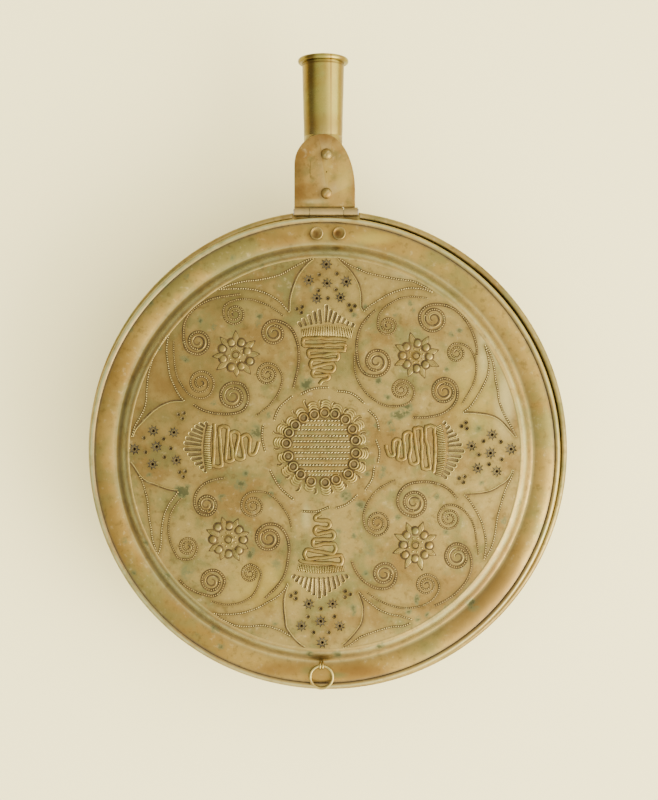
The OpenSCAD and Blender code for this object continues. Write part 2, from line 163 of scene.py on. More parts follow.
SCROLLS = [
    ("bold", (-81.6, 68.3), [(-82, 60.5), (-87.5, 62.4), (-90, 67.3), (-90.6, 73.8),
        (-90, 80.3), (-87.1, 85.7), (-82.2, 90.5), (-76.3, 93.8), (-69.8, 96), (-64.3, 96.9),
        (-55.2, 98.1)]),
    ("fine", (-58.4, 85.6), [(-65.4, 86.2), (-64.9, 90.5), (-61.1, 93.5), (-54.6, 95.1),
        (-48.1, 94.8), (-42.7, 93.1), (-37.3, 91), (-32.4, 88), (-28, 84.5)]),
    ("bold", (-33.7, 73.6), [(-32.9, 81.5), (-27, 79.6), (-22.6, 75.8), (-19.9, 70.4),
        (-18.3, 64), (-18.1, 57.4), (-18.6, 52.1), (-20.2, 45.1), (-21.5, 39.7)]),
    ("fine", (-37.7, 47.8), [(-37.2, 54.8), (-32.3, 53.1), (-29.4, 48.8), (-28.5, 44),
        (-30.2, 38.1), (-32.8, 33.2), (-37.2, 27.9), (-42.5, 23.6), (-44.7, 22.4)]),
    ("bold", (-59.5, 34.1), [(-58.7, 42.6), (-53.3, 41.3), (-50.1, 36.4), (-50, 30.6),
        (-52.7, 25.7), (-57.6, 23.6), (-64.1, 23), (-71.7, 23.6), (-78.7, 25.7), (-84.1, 28.9)]),
    ("fine", (-79.6, 42.4), [(-71.4, 41.3), (-73.3, 35.9), (-77.1, 33), (-81.9, 33),
        (-86.3, 34.9), (-90.2, 39.1), (-93.4, 44), (-95.3, 49.4), (-96.2, 54.8), (-96.8, 62.9),
        (-96.8, 68.9)]),
    ("fine", (37.6, 78.5), [(31.3, 79.6), (32.2, 85.1), (35.9, 89.9), (41.3, 93.5), (46, 95.7),
        (52.1, 96.6), (58.1, 96.3), (62.3, 95.7)]),
    ("bold", (66.2, 82.7), [(58, 86.3), (61.7, 90.3), (67.7, 91.8), (74.9, 90.9), (81, 87.7),
        (86.4, 82.2), (90, 76.2), (92.4, 69.6), (93.5, 64.1), (93.5, 59.9)]),
    ("fine", (80.8, 61.2), [(79.7, 67.1), (85.7, 66.3), (89.9, 62.9), (92.3, 57.5),
        (93.2, 51.6), (92.2, 44.9), (89.8, 39), (86.1, 32.9), (84.4, 29.9)]),
    ("bold", (72.9, 37.1), [(73.5, 45.2), (78.4, 43.1), (81.1, 38.3), (80.7, 32.3),
        (77.7, 27.6), (72.9, 23.9), (67.7, 22), (60.2, 20.8), (53.3, 20.8)]),
    ("fine", (45.9, 38.3), [(45.9, 44.3), (51.3, 42.2), (54, 37.1), (52.5, 31.8), (48.3, 28.8),
        (42.3, 27.9), (35.7, 28.4), (29.7, 31.4), (23.7, 36.5), (19.6, 42.5), (17.2, 48.5),
        (16.6, 55.1), (16.8, 60.5)]),
    ("bold", (30.4, 55.7), [(29.8, 46.7), (23.8, 47.9), (19.9, 52.4), (18.4, 58.6), (18, 64.6),
        (18.7, 71.9), (21.1, 78.4), (25.2, 83.9), (29.8, 88.1)]),
    ("bold", (-76, -33.7), [(-74.9, -40.2), (-80.4, -39.1), (-83.3, -34.3), (-83.3, -28.9),
        (-81.2, -24.6), (-77.4, -20.8), (-71.8, -18.3), (-64.9, -17)]),
    ("fine", (-46.9, -34.4), [(-54.1, -33.6), (-52.7, -29.3), (-49, -26.1), (-43.6, -25.3),
        (-37.1, -26.6), (-31.8, -30.9), (-27.5, -36.3), (-24.2, -42.2), (-22.9, -47.6)]),
    ("bold", (-36.9, -54.9), [(-42.6, -48.9), (-38.2, -46), (-32.3, -46.2), (-27.7, -49.8),
        (-25.1, -55.2), (-24.2, -61.8), (-24.9, -67.6), (-26, -74.1), (-28.3, -80.1),
        (-32.4, -85.5), (-36.2, -89.3), (-39.4, -92.6)]),
    ("fine", (-48.6, -76.9), [(-48, -71.2), (-43.7, -73.4), (-41.8, -77.4), (-43.1, -82.3),
        (-44.8, -87.2), (-48.1, -91.6), (-53.5, -94.9), (-58.9, -96.3), (-65.4, -96.6),
        (-73, -94.5)]),
    ("bold", (-72.7, -82), [(-64.8, -81.9), (-67, -87.9), (-71.9, -91.2), (-78.4, -90.2),
        (-84.4, -88), (-89.2, -85.3), (-93.6, -81)]),
    ("fine", (-88, -60.3), [(-82, -61.4), (-84.3, -66.8), (-89.1, -68.4), (-94.1, -66.9),
        (-96.8, -62.6), (-98.9, -57.2), (-100, -50.6), (-99.6, -43.6), (-97.7, -37.6),
        (-94.4, -32.7), (-91.7, -30)]),
    ("bold", (53.6, -32.5), [(53.1, -40.9), (47.5, -38.9), (44.1, -34.4), (43.8, -28.9),
        (46.4, -23.8), (51.4, -20.5), (58.1, -19.4), (64.8, -19.7), (71.5, -21.7), (76.6, -25),
        (81.1, -30.1)]),
    ("fine", (76.1, -42.4), [(69.9, -38.4), (73.2, -34.5), (78.9, -34), (84.5, -36.8),
        (89, -41.9), (91.9, -48.1), (93, -54.8), (94.2, -62.1), (94.5, -65.5)]),
    ("bold", (81.2, -66.6), [(80.6, -58.4), (85.7, -60.1), (89.1, -64.9), (90.3, -71.1),
        (88.9, -77.9), (85.9, -83.5), (80.8, -89.1), (75.7, -93.1), (70.7, -95.8), (66.7, -97.5)]),
    ("fine", (61.9, -84.2), [(63.3, -77.7), (67.8, -80), (69.8, -84.6), (68.7, -89.6),
        (65, -94.1), (59.4, -97.2), (52.7, -98.6), (45.4, -98.5), (38.7, -96.8), (31.4, -93.6),
        (24.6, -88.8)]),
    ("bold", (35.2, -77.3), [(42.8, -77.6), (41.2, -83.2), (36.4, -86.3), (30.3, -86),
        (24.6, -83.2), (20.2, -79.2), (16.7, -74), (15, -69.2)]),
    ("fine", (30.8, -45), [(29.6, -52.9), (24.6, -49.5), (22.4, -43.9), (22.6, -38.3),
        (24.6, -32.7), (27.9, -27.7), (32.4, -23.2), (37.4, -20.5), (42.4, -18.2)]),
]
FANS = {
    "top": ([(-18.5, 80.8), (-15.9, 83.1), (-12.1, 85.4), (-8.7, 87.7), (-5.5, 88.9),
        (-0.7, 91.8), (2.3, 88.6), (5.2, 87.2), (7.8, 85.1), (10.7, 83.4), (13, 81.6), (16.2, 80.2)],
        [(-16.4, 77.3), (-13.6, 78.1), (-10.1, 78.7), (-7.2, 79.3), (-4.3, 79.3), (-1.4, 80.2),
            (0.6, 80.3), (2.9, 79.3), (5.8, 79.9), (8.7, 79.3), (11.6, 78.1), (14.8, 77)]),
    "left": ([(-77, 18), (-80.4, 17.5), (-83.3, 15.7), (-85.4, 13.6), (-87.2, 11), (-89.3, 8.1),
        (-90.3, 5), (-90.3, 0.9), (-87.9, -2.5), (-85.9, -5.4), (-83.5, -8.4), (-80.4, -11),
        (-77.6, -13.4)],
        [(-75.2, 16.2), (-76.9, 15), (-77.8, 12.9), (-78.1, 10.5), (-78.4, 8), (-78.7, 5.8),
            (-79, 3.6), (-79, 0.6), (-79, -2), (-78.7, -4.5), (-78.1, -7.2), (-77.4, -9.7),
            (-76.3, -11.8)]),
    "right": ([(74, 18.4), (76.4, 15.7), (78.5, 13), (80.9, 10.7), (82.7, 7.3), (84.2, 4),
        (85.7, -0.2), (83.9, -3.7), (82.1, -6.4), (80.6, -9.7), (78.8, -12.1), (76.7, -14.8),
        (74.6, -17.5)],
        [(71.9, 16.3), (73.6, 13.6), (74, 10.9), (74.6, 8.2), (74.6, 5.5), (74.8, 3.2),
            (74.8, 0.2), (74.6, -2.5), (74.3, -4.9), (74, -7.3), (73.3, -9.7), (72.4, -12.4),
            (71.6, -15.1)]),
    "bottom": ([(-22.3, -80), (-20.5, -82.2), (-17.7, -84), (-14.9, -86.3), (-12.1, -88.7),
        (-9, -90.9), (-5.3, -92.8), (-1.9, -91.2), (1.2, -88.7), (4.6, -86.9), (7.1, -84.7),
        (10.1, -82.5), (12.6, -80)],
        [(-20.4, -77.2), (-17.7, -78.1), (-15.5, -78.4), (-13, -78.7), (-10.3, -79.1),
            (-8.4, -79.1), (-5.9, -79.1), (-2.8, -79.1), (-0.1, -78.7), (2.8, -78.4), (5.2, -77.8),
            (8, -77.2), (10.8, -77.2)]),
}
RIB_BANDS = {
    "top": ([(-15.9, 71.2), (-0.2, 71.8), (14.8, 70.2)], [(-16.8, 75.8), (-0.2, 78.9),
        (16.5, 76.3)], 30),
    "left": ([(-72.1, 16), (-73.5, 2.4), (-72.2, -11.1)], [(-75.2, 15.8), (-77.7, 2.3),
        (-76.2, -12)], 25),
    "right": ([(67.3, 14.9), (68.7, 0.2), (67.3, -15.2)], [(70.8, 16.9), (73.8, 0.2),
        (70.7, -16.2)], 29),
    "bottom": ([(-18.5, -70.6), (-4.2, -72.1), (9.9, -71.1)], [(-19.5, -75.3), (-4.2, -76.8),
        (10.8, -75)], 28),
}
FOLDED_CORDS = {
    "top": [(12.1, 69.2), (8.3, 70.2), (-13.6, 70.3), (-15.2, 69.7), (-15.9, 68), (-15.2, 66.4),
        (-13.6, 65.7), (9.1, 66.4), (10.4, 65.8), (11, 64.4), (10.4, 63.1), (9.1, 62.5),
        (-10.2, 62.9), (-11.6, 62.3), (-12.1, 60.9), (-11.5, 59.6), (-10.2, 59), (5.1, 60.8), (6.4, 60.2),
        (6.9, 58.9), (6.4, 57.5), (5.1, 57), (-9, 56.6), (-10.6, 56), (-11.2, 54.4), (-10.6, 52.8),
        (-9, 52.2), (1.4, 54.7), (3.3, 54), (4.1, 52.1), (3.3, 50.2), (1.4, 49.4), (-7.3, 50.6),
        (-8.9, 50), (-9.5, 48.5), (-8.9, 46.9), (-7.3, 46.3), (-0.7, 47.7), (0.4, 47.3),
        (0.9, 46.1), (0.4, 45), (-0.7, 44.5), (-3.3, 44), (-5, 41.5)],
    "left": [(-70.5, 16.7), (-70.8, 13), (-71.7, -7.6), (-70.9, -9.4), (-69, -10.2),
        (-67.1, -9.4), (-66.3, -7.5), (-67.9, 12.7), (-67.1, 14.6), (-65.2, 15.4), (-63.2, 14.6),
        (-62.4, 12.7), (-63.9, -4.3), (-63.2, -5.9), (-61.6, -6.6), (-60, -5.9), (-59.3, -4.3), (-61, 9.4),
        (-60.2, 11.3), (-58.3, 12.1), (-56.4, 11.3), (-55.7, 9.4), (-57.7, -3), (-57, -4.8),
        (-55.2, -5.5), (-53.3, -4.8), (-52.6, -3), (-54.2, 7.1), (-53.4, 9.2), (-51.3, 10), (-49.3, 9.2),
        (-48.5, 7.1), (-49.1, -0.3), (-48.5, -1.8), (-47, -2.4), (-45.5, -1.8), (-44.8, -0.3),
        (-43.9, 3), (-43.2, 5.8)],
    "right": [(65.5, -13), (66.8, -9.5), (66.9, 12.9), (66.1, 14.9), (64, 15.7), (62, 14.9),
        (61.1, 12.9), (63.9, -9.3), (63.2, -11), (61.5, -11.8), (59.7, -11), (59, -9.3),
        (58.5, 12.2), (57.9, 13.8), (56.3, 14.5), (54.7, 13.8), (54, 12.3), (56.3, -5.7), (55.5, -7.5),
        (53.7, -8.2), (51.9, -7.5), (51.2, -5.7), (52.1, 9.2), (51.4, 10.9), (49.7, 11.6),
        (48.1, 10.9), (47.4, 9.2), (48.5, -3.2), (47.7, -5), (45.9, -5.7), (44.1, -5), (43.4, -3.2),
        (45.1, 5.5), (44.5, 7), (43, 7.6), (41.5, 7), (40.9, 5.5), (41.1, -1.7), (40.6, -3), (39.4, -3.5),
        (38.1, -3), (37.6, -1.7), (36.7, 1.2), (36.5, 3.7)],
    "bottom": [(-17.4, -67.9), (-14.2, -69.5), (6.5, -71), (8.4, -70.2), (9.2, -68.3),
        (8.4, -66.3), (6.5, -65.5), (-11.6, -67.7), (-13.7, -66.8), (-14.6, -64.7), (-13.7, -62.6),
        (-11.6, -61.8), (1.9, -64.3), (4.2, -63.3), (5.2, -60.9), (4.2, -58.6), (1.9, -57.6),
        (-7.8, -59.2), (-9.1, -58.6), (-9.6, -57.3), (-9.1, -56), (-7.8, -55.5), (1.8, -55.2),
        (3.5, -54.5), (4.3, -52.8), (3.5, -51), (1.8, -50.3), (-6.1, -52), (-7.7, -51.3), (-8.4, -49.7),
        (-7.7, -48.2), (-6.1, -47.5), (-1, -48.6), (0.8, -47.8), (1.5, -46.1), (0.8, -44.3),
        (-1, -43.6), (-6.4, -43.4), (-7.6, -42.9), (-8, -41.7), (-7.6, -40.6), (-6.4, -40.1),
        (-5.5, -39.4), (-4, -38.9)],
}
CUPS = [(-15.2, 20.6), (-8.5, 22.6), (-2, 23.8), (4.3, 23.1), (10.9, 19.6), (15.4, 13.7),
    (17.3, 6.6), (17.4, -1.3), (16.2, -8.4), (12.6, -14.3), (5.1, -17.8), (-1.7, -19.7), (-10.5, -18.9),
    (-17, -14.6), (-21.6, -9.8), (-24.8, -3.3), (-25.9, 4.8), (-24.3, 11.5), (-20.3, 16.1)]
SCALLOPS = [
    [(-33.6, 19.3), (-30.5, 26.8), (-22.3, 34.2)],
    [(-16.7, 35.5), (-8.6, 38.9), (0.1, 39.6)],
    [(5.8, 37.4), (15.1, 35.8), (22.6, 29.9)],
    [(25.1, 25.5), (30.1, 20.5), (32, 13)],
    [(30.1, 6.8), (32.3, -0.1), (31.4, -7)],
    [(28.9, -10.1), (27.6, -17.6), (23.2, -24.4)],
    [(18.2, -27.6), (12, -33.2), (5.1, -35.7)],
    [(0.8, -35), (-7.4, -37.9), (-16.1, -37.6)],
    [(-21.7, -30.1), (-30.1, -22.6), (-36.1, -12)],
    [(-39.2, -0.1), (-41.1, 8), (-40.5, 16.1)],
]
# Each rosette: its middle, its round bosses and the tips of its leaves
ROSETTES = [
    ((-57.5, 60),
        [(-60.4, 67.7), (-54.2, 67.7), (-50.4, 62.3), (-48.8, 56.1), (-54.2, 52.9), (-60.4, 52.3),
            (-65.5, 57.5), (-66, 63.9)],
        [(-57.7, 74.2), (-46.3, 68.2), (-43.7, 60.5), (-49, 48.8), (-57.1, 47.3), (-68.7, 51.3),
            (-71.1, 59.1), (-66.8, 70.4)]),
    ((55.4, 59.4),
        [(56.1, 67.3), (61.5, 64.7), (63.6, 59), (61.2, 53.9), (55.5, 51.5), (49.5, 54.2),
            (46.9, 59.6), (49.2, 65)],
        [(51.9, 73), (62.7, 70.7), (68.4, 62.8), (68.4, 53.3), (60.3, 46.4), (50.7, 47.3),
            (42.7, 53.9), (43.2, 65.8)]),
    ((-62.1, -55.5),
        [(-61.7, -47), (-55.6, -49.5), (-52.9, -55.6), (-55.6, -62.3), (-62.2, -64.6),
            (-68.3, -61.8), (-72, -55.6), (-68.8, -47.9)],
        [(-65.9, -42.4), (-56.5, -43.4), (-50.4, -51.4), (-50.8, -60.8), (-56, -67.9),
            (-66.9, -67.5), (-73.5, -62.3), (-74.9, -50)]),
    ((54.9, -59),
        [(54.6, -50.2), (60.2, -52.8), (63.6, -59.4), (60.7, -65.1), (54.6, -67.5), (48.4, -65.1),
            (47.3, -58.9), (49.5, -52.8)],
        [(49.5, -45.8), (59.3, -45.5), (67, -53.3), (66.8, -65.1), (58.8, -73.8), (48.9, -72.8),
            (41.7, -63.7), (42.6, -52.6)]),
]
MEDALLION = (-4.2, 2.2)
ROPE_ROWS_Y = [18.8, 16.1, 13.2, 9.3, 5.9, 2.4, -1.1, -4.9, -8.9, -12.7, -15.1]
# Green and dark stains on the lid: place, reach and strength
STAINS = [(-13, 41.8, 4.2, 1), (-45, 11.7, 4.2, 1), (49.6, 26.1, 3.6, 1), (45.2, 22.4, 3, 0.9),
    (23.9, 90, 2, 0.8), (16.4, 85, 1.8, 0.8), (23.9, 81.9, 1.6, 0.7), (52.1, 92.5, 2, 0.8),
    (42.1, 85.6, 1.8, 0.7), (54, 88.1, 1.6, 0.6), (77.8, 73.1, 2, 0.8), (82.8, 75.6, 1.8, 0.8),
    (74.7, 51.2, 1.8, 0.8), (31.4, 43.6, 2.6, 0.9), (37.1, 33.6, 2.2, 0.8), (40.8, 22.4, 2, 0.8),
    (39, 17.3, 2, 0.8), (40.2, 13, 2, 0.8), (30.2, 16.1, 2, 0.7), (94.1, 13.6, 2.2, 0.8),
    (101, 29.9, 2, 0.5), (-80, 81.2, 2, 0.8), (-71.3, 77.5, 1.8, 0.8), (-43.1, 84.4, 2.4, 0.8),
    (-43.7, 78.7, 2, 0.7), (-88.8, 56.8, 1.8, 0.8), (-91.3, 59.3, 1.8, 0.7), (-71.3, 29.9, 2, 0.7),
    (-10.5, 101.3, 1.8, 0.7), (-36.8, 22.4, 2, 0.8), (-41.8, 115.7, 1.8, 0.7),
    (19.5, 113.8, 1.8, 0.7), (-105.7, 64.3, 2, 0.7), (-93.2, -25.2, 3.4, 0.9),
    (-88.2, -24.6, 3.2, 0.9), (-90.1, -27.1, 2.4, 0.8), (-112, -15.8, 2, 0.7),
    (-54.4, -21.5, 3.8, 0.9), (-66.3, -29, 2.4, 0.8), (-51.2, -14, 2, 0.7), (-35.6, -27.1, 2, 0.8),
    (-31.2, -19, 2, 0.8), (-47.5, -62.8, 2.2, 0.9), (-49.3, -66, 2.2, 0.8), (-88.2, -76.6, 4.5, 0.6),
    (-100.7, -79.1, 2.2, 0.7), (-32.4, -71, 4.5, 0.45), (-122.6, -77.2, 2, 0.7),
    (-128.3, -56.6, 2, 0.7), (-114.5, -58.4, 2, 0.7), (-33.1, -107.9, 2, 0.7), (11.4, -28.4, 4, 0.8),
    (20.2, -34.6, 3.6, 0.8), (24.6, -14.6, 2, 0.7), (34, -10.8, 2.4, 0.8), (34, -15.8, 2, 0.7),
    (44, -41.5, 2, 0.8), (16.4, -52.8, 2, 0.7), (74, -50.9, 2, 0.7), (60.9, -32.8, 2, 0.8),
    (67.8, -29, 2, 0.8), (111, -44, 2.2, 0.8), (120.4, -33.4, 2, 0.8), (23.3, -77.2, 2.2, 0.8),
    (55.9, -91.6, 2, 0.8), (55.9, -94.8, 1.8, 0.8), (50.9, -101, 2, 0.8), (62.8, -103.5, 2, 0.8),
    (56.5, -105.4, 2, 0.8), (15.8, -97.9, 2, 0.7), (16.4, -101.7, 2, 0.7), (27.1, -62.8, 4.5, 0.45),
    (74.7, -77.2, 3, 0.4), (7, -49.7, 2, 0.7), (96.6, -20.2, 2, 0.7), (-111.5, 92.6, 2, 0.7),
    (-81, 119.2, 2, 0.7), (-59.5, 121.8, 2, 0.7), (-88.6, 110.4, 2, 0.7), (-101.9, 105.3, 2, 0.7),
    (-124.1, 76.8, 2, 0.7), (-71.5, -113.4, 2.6, 0.8), (-67.7, -123.6, 2.2, 0.8),
    (-11.3, -128, 2.2, 0.9), (5.8, -128.7, 2.8, 0.9), (33.1, -122.9, 2.8, 0.9),
    (91.4, -97, 4.2, 0.8)]


# ---- Working with one piece at a time -------------------------------------------------------

def clear_selection():
    if bpy.context.object and bpy.context.object.mode != "OBJECT":
        bpy.ops.object.mode_set(mode="OBJECT")
    bpy.ops.object.select_all(action="DESELECT")


def take_up(piece):
    clear_selection()
    piece.select_set(True)
    bpy.context.view_layer.objects.active = piece


def named(name):
    piece = bpy.context.object
    piece.name = name
    piece.data.name = name
    return piece


def places_of(piece):
    """The piece's vertices in millimetres, one row each."""
    flat = np.empty(len(piece.data.vertices) * 3)
    piece.data.vertices.foreach_get("co", flat)
    return flat.reshape(-1, 3) / MM


def move_to(piece, places):
    piece.data.vertices.foreach_set("co", (np.asarray(places) * MM).ravel())
    piece.data.update()


def with_modifier(piece, kind, **settings):
    """Adds a modifier to piece and applies it."""
    take_up(piece)
    tool = piece.modifiers.new(kind.title(), kind)
    for setting, value in settings.items():
        setattr(tool, setting, value)
    bpy.ops.object.modifier_apply(modifier=tool.name)


def tidy_faces(piece, merge=0.002):
    take_up(piece)
    bpy.ops.object.mode_set(mode="EDIT")
    bpy.ops.mesh.select_all(action="SELECT")
    bpy.ops.mesh.remove_doubles(threshold=merge * MM)
    bpy.ops.mesh.normals_make_consistent(inside=False)
    bpy.ops.object.mode_set(mode="OBJECT")


def cut_away(piece, tool, self_crossing=False):
    """Cuts tool out of piece. The cut keeps the tool's finish, and the tool is used up."""
    with_modifier(piece, "BOOLEAN", operation="DIFFERENCE", solver="EXACT",
        use_self=self_crossing, material_mode="TRANSFER", object=tool)
    bpy.data.objects.remove(tool)


def add_to(piece, other):
    """Joins another solid to piece as one closed solid."""
    with_modifier(piece, "BOOLEAN", operation="UNION", solver="EXACT", object=other)
    bpy.data.objects.remove(other)


def only_finish(piece, finish):
    piece.data.materials.clear()
    piece.data.materials.append(finish)


def fit(piece, body, slot, *stands_for, finish=None, smooth=35):
    """Gives a finished piece its surface, and hangs it on its body."""
    if finish:
        only_finish(piece, finish)
    take_up(piece)
    bpy.ops.object.shade_smooth_by_angle(angle=math.radians(smooth))
    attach(piece, body)
    if stands_for:
        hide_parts(*stands_for)
    return piece


# ---- Forms that the pan is made of ----------------------------------------------------------

def spun(name, section, steps, centre=(0.0, 0.0)):
    """A closed section of [radius, height] places, spun once round an upright axis."""
    clear_selection()
    bpy.ops.mesh.primitive_circle_add(vertices=len(section), radius=1, fill_type="NOTHING")
    piece = named(name)
    move_to(piece, [(centre[0] + r, centre[1], z) for r, z in section])
    bpy.ops.object.mode_set(mode="EDIT")
    bpy.ops.mesh.select_all(action="SELECT")
    bpy.ops.mesh.spin(steps=steps, angle=math.tau, axis=(0, 0, 1),
        center=(centre[0] * MM, centre[1] * MM, 0))
    bpy.ops.object.mode_set(mode="OBJECT")
    tidy_faces(piece)
    return piece


def turned(name, rings, sides):
    """A small solid turned on the lathe: its rings of (radius, height), from the top down."""
    clear_selection()
    bpy.ops.mesh.primitive_uv_sphere_add(segments=sides, ring_count=len(rings) + 1, radius=1)
    piece = named(name)
    ball = places_of(piece) * MM
    shaped = []
    for x, y, z in ball:
        level = round(math.acos(max(-1.0, min(1.0, z))) / math.pi * (len(rings) + 1))
        r, height = rings[min(max(level, 1), len(rings)) - 1]
        reach = math.hypot(x, y)
        shaped.append((x / reach * r, y / reach * r, height) if reach > 0.01 else (0, 0, height))
    move_to(piece, shaped)
    return piece


def turn_points(centre, radius, start, end, steps):
    """Places along an arc of [radius, height], from one angle to another in degrees."""
    angles = [math.radians(start + (end - start) * i / steps) for i in range(steps + 1)]
    return [(centre[0] + radius * math.cos(a), centre[1] + radius * math.sin(a)) for a in angles]


def smooth_line(points, step):
    """An even row of places, step apart, on the smooth curve through a few points."""
    ends = [points[0]] + list(points) + [points[-1]]
    dense = []
    for a, b, c, d in zip(ends, ends[1:], ends[2:], ends[3:]):
        a, b, c, d = (np.array(p, float) for p in (a, b, c, d))
        for t in np.linspace(0, 1, 12, endpoint=False):
            dense.append(0.5 * (2 * b + (c - a) * t + (2 * a - 5 * b + 4 * c - d) * t * t
                + (3 * b - 3 * c + d - a) * t ** 3))
    dense = np.array(dense + [np.array(points[-1], float)])
    run = np.concatenate([[0], np.cumsum(np.hypot(*np.diff(dense, axis=0).T))])
    marks = np.linspace(0, run[-1], max(int(round(run[-1] / step)), 2) + 1)
    return np.column_stack([np.interp(marks, run, dense[:, 0]), np.interp(marks, run, dense[:, 1])])


def crown_z(r):
    """Height of the flange's rounded crown at a distance from the lid's centre."""
    half = (FLANGE_END_R - FOOT_R) / 2
    return FLANGE_Z + CROWN_RISE * (1 - ((r - FOOT_R - half) / half) ** 2)


def waves(x, y, per_mm, seed):
    """Gentle waves over a sheet, about -1 to 1; per_mm says how many fit in a millimetre."""
    return noise.noise(Vector((x * per_mm, y * per_mm, seed)))


def hammered(x, y):
    """Small unevenness, in millimetres, that hand raising left in the lid's sheet."""
    return 0.16 * waves(x, y, 0.045, 3.7) + 0.05 * waves(x, y, 0.1395, 11.47)


def field_z(x, y):
    """Height of the lid's domed field at a place on it."""
    r = min(math.hypot(x - LID_X, y - LID_Y), FIELD_R)
    ball_r = (FIELD_R ** 2 + DOME_RISE ** 2) / (2 * DOME_RISE)
    still = min(1.0, (FIELD_R - r) / STILL_EDGE)
    return (FIELD_Z + DOME_RISE - ball_r + math.sqrt(ball_r * ball_r - r * r)
        + still * hammered(x, y))


def drape(piece):
    """Lays flat chased work on the domed field."""
    places = places_of(piece)
    places[:, 2] += [field_z(x, y) for x, y in places[:, :2]]
    move_to(piece, places)
    return piece


def gathered(name, shape, layouts):
    """Many copies of one modelled shape as one piece: a layout puts the shape's places."""
    mesh = shape.data
    places = places_of(shape)
    faces = [tuple(face.vertices) for face in mesh.polygons]
    finishes = [face.material_index for face in mesh.polygons]
    spread, joined = [], []
    for number, layout in enumerate(layouts):
        spread.append(layout(places.copy()))
        start = number * len(places)
        joined += [tuple(start + v for v in face) for face in faces]
    copies = bpy.data.meshes.new(name)
    copies.from_pydata((np.concatenate(spread) * MM).tolist(), [], joined)
    for finish in mesh.materials:
        copies.materials.append(finish)
    copies.polygons.foreach_set("material_index", finishes * len(layouts))
    copies.update()
    piece = bpy.data.objects.new(name, copies)
    bpy.context.scene.collection.objects.link(piece)
    bpy.data.objects.remove(shape)
    return piece


def set_down(x, y, turn=0.0, size=1.0, long=1.0, lift=0.0):
    """A layout: the shape turned (in radians), sized, stretched along its own X and set at x, y."""
    c, s = math.cos(turn), math.sin(turn)

    def layout(places):
        places[:, 0] *= long
        places *= size
        px, py = places[:, 0].copy(), places[:, 1].copy()
        places[:, 0] = x + c * px - s * py
        places[:, 1] = y + s * px + c * py
        places[:, 2] += lift
        return places

    return layout


def drawn_wire(name, lines, width, height, sides=1, taper=None):
    """Wires or strips along flat lines: closed tubes, flattened to the height asked for."""
    curve = bpy.data.curves.new(name, "CURVE")
    curve.dimensions = "3D"
    curve.bevel_depth = width / 2 * MM
    curve.bevel_resolution = sides
    curve.use_fill_caps = True
    curve.twist_mode = "Z_UP"
    for line in lines:
        spline = curve.splines.new("POLY")
        spline.points.add(len(line) - 1)
        for i, (x, y) in enumerate(line):
            spline.points[i].co = (x * MM, y * MM, 0, 1)
            if taper:
                spline.points[i].radius = taper(i / (len(line) - 1))
    piece = bpy.data.objects.new(name, curve)
    bpy.context.scene.collection.objects.link(piece)
    take_up(piece)
    bpy.ops.object.convert(target="MESH")
    piece = named(name)
    tidy_faces(piece, 0.0005)
    places = places_of(piece)
    places[:, 2] *= height / (width / 2)
    move_to(piece, places)
    return piece


def bead_shape(wide, high, segments=8, rings=5):
    """A low round bead, half sunk in the sheet."""
    clear_selection()
    bpy.ops.mesh.primitive_uv_sphere_add(segments=segments, ring_count=rings, radius=wide / 2 * MM)
    bead = named("bead")
    places = places_of(bead)
    places[:, 2] *= high / (wide / 2)
    move_to(bead, places)
    return bead


def block(name, low, high):
    """A straight block between two corners."""
    clear_selection()
    bpy.ops.mesh.primitive_cube_add(size=1)
    piece = named(name)
    low, high = np.array(low, float), np.array(high, float)
    move_to(piece, (low + high) / 2 + places_of(piece) * MM * (high - low))
    return piece


def sawn_plate(name, outline, bottom, top, edge=0.4):
    """A plate sawn to an outline, with its upper edge rounded over."""
    clear_selection()
    bpy.ops.mesh.primitive_circle_add(vertices=len(outline), radius=1, fill_type="NGON")
    piece = named(name)
    move_to(piece, [(x, y, bottom) for x, y in outline])
    bpy.ops.object.mode_set(mode="EDIT")
    bpy.ops.mesh.select_all(action="SELECT")
    bpy.ops.mesh.extrude_region_move(
        TRANSFORM_OT_translate={"value": (0, 0, (top - bottom) * MM)})
    if edge:
        bpy.ops.mesh.bevel(offset=edge * MM, segments=3, affect="EDGES")
    bpy.ops.object.mode_set(mode="OBJECT")
    tidy_faces(piece)
    return piece


def lying_rod(name, radius, start, end, y, z):
    """A round rod along X, from start to end."""
    clear_selection()
    bpy.ops.mesh.primitive_cylinder_add(vertices=40, radius=radius * MM,
        depth=(end - start) * MM)
    piece = named(name)
    places = places_of(piece)
    move_to(piece, np.column_stack([(start + end) / 2 + places[:, 2], y + places[:, 1],
        z - places[:, 0]]))
    return piece


def upright_rod(name, radius, low, high, x, y):
    """A round rod standing up, from low to high."""
    clear_selection()
    bpy.ops.mesh.primitive_cylinder_add(vertices=32, radius=radius * MM,
        depth=(high - low) * MM)
    piece = named(name)
    move_to(piece, places_of(piece) + (x, y, (low + high) / 2))
    return piece


def keep_mark(piece, name, held):
    """Keeps a mark on the piece's vertices, for its finish to read."""
    kept = piece.data.attributes.new(name, "FLOAT", "POINT")
    kept.data.foreach_set("value", held)


def held_marks(piece, name, marks, most=1.0):
    """Keeps on each vertex how near it is to a mark: marks are (x, y, reach, strength)."""
    tree = KDTree(len(marks))
    for i, mark in enumerate(marks):
        tree.insert((mark[0], mark[1], 0), i)
    tree.balance()
    held = []
    for x, y, _ in places_of(piece):
        near = 0.0
        for _, i, far in tree.find_n((x, y, 0), 3):
            near += marks[i][3] * math.exp(-(far / marks[i][2]) ** 2)
        held.append(min(near, most))
    keep_mark(piece, name, held)


# ---- Finishes -------------------------------------------------------------------------------

def eye_colour(red, green, blue):
    """A colour as the eye reads it, 0 to 255, turned to the shader's own scale."""
    def straight(c):
        c /= 255
        return c / 12.92 if c <= 0.04045 else ((c + 0.055) / 1.055) ** 2.4
    return (straight(red), straight(green), straight(blue), 1.0)


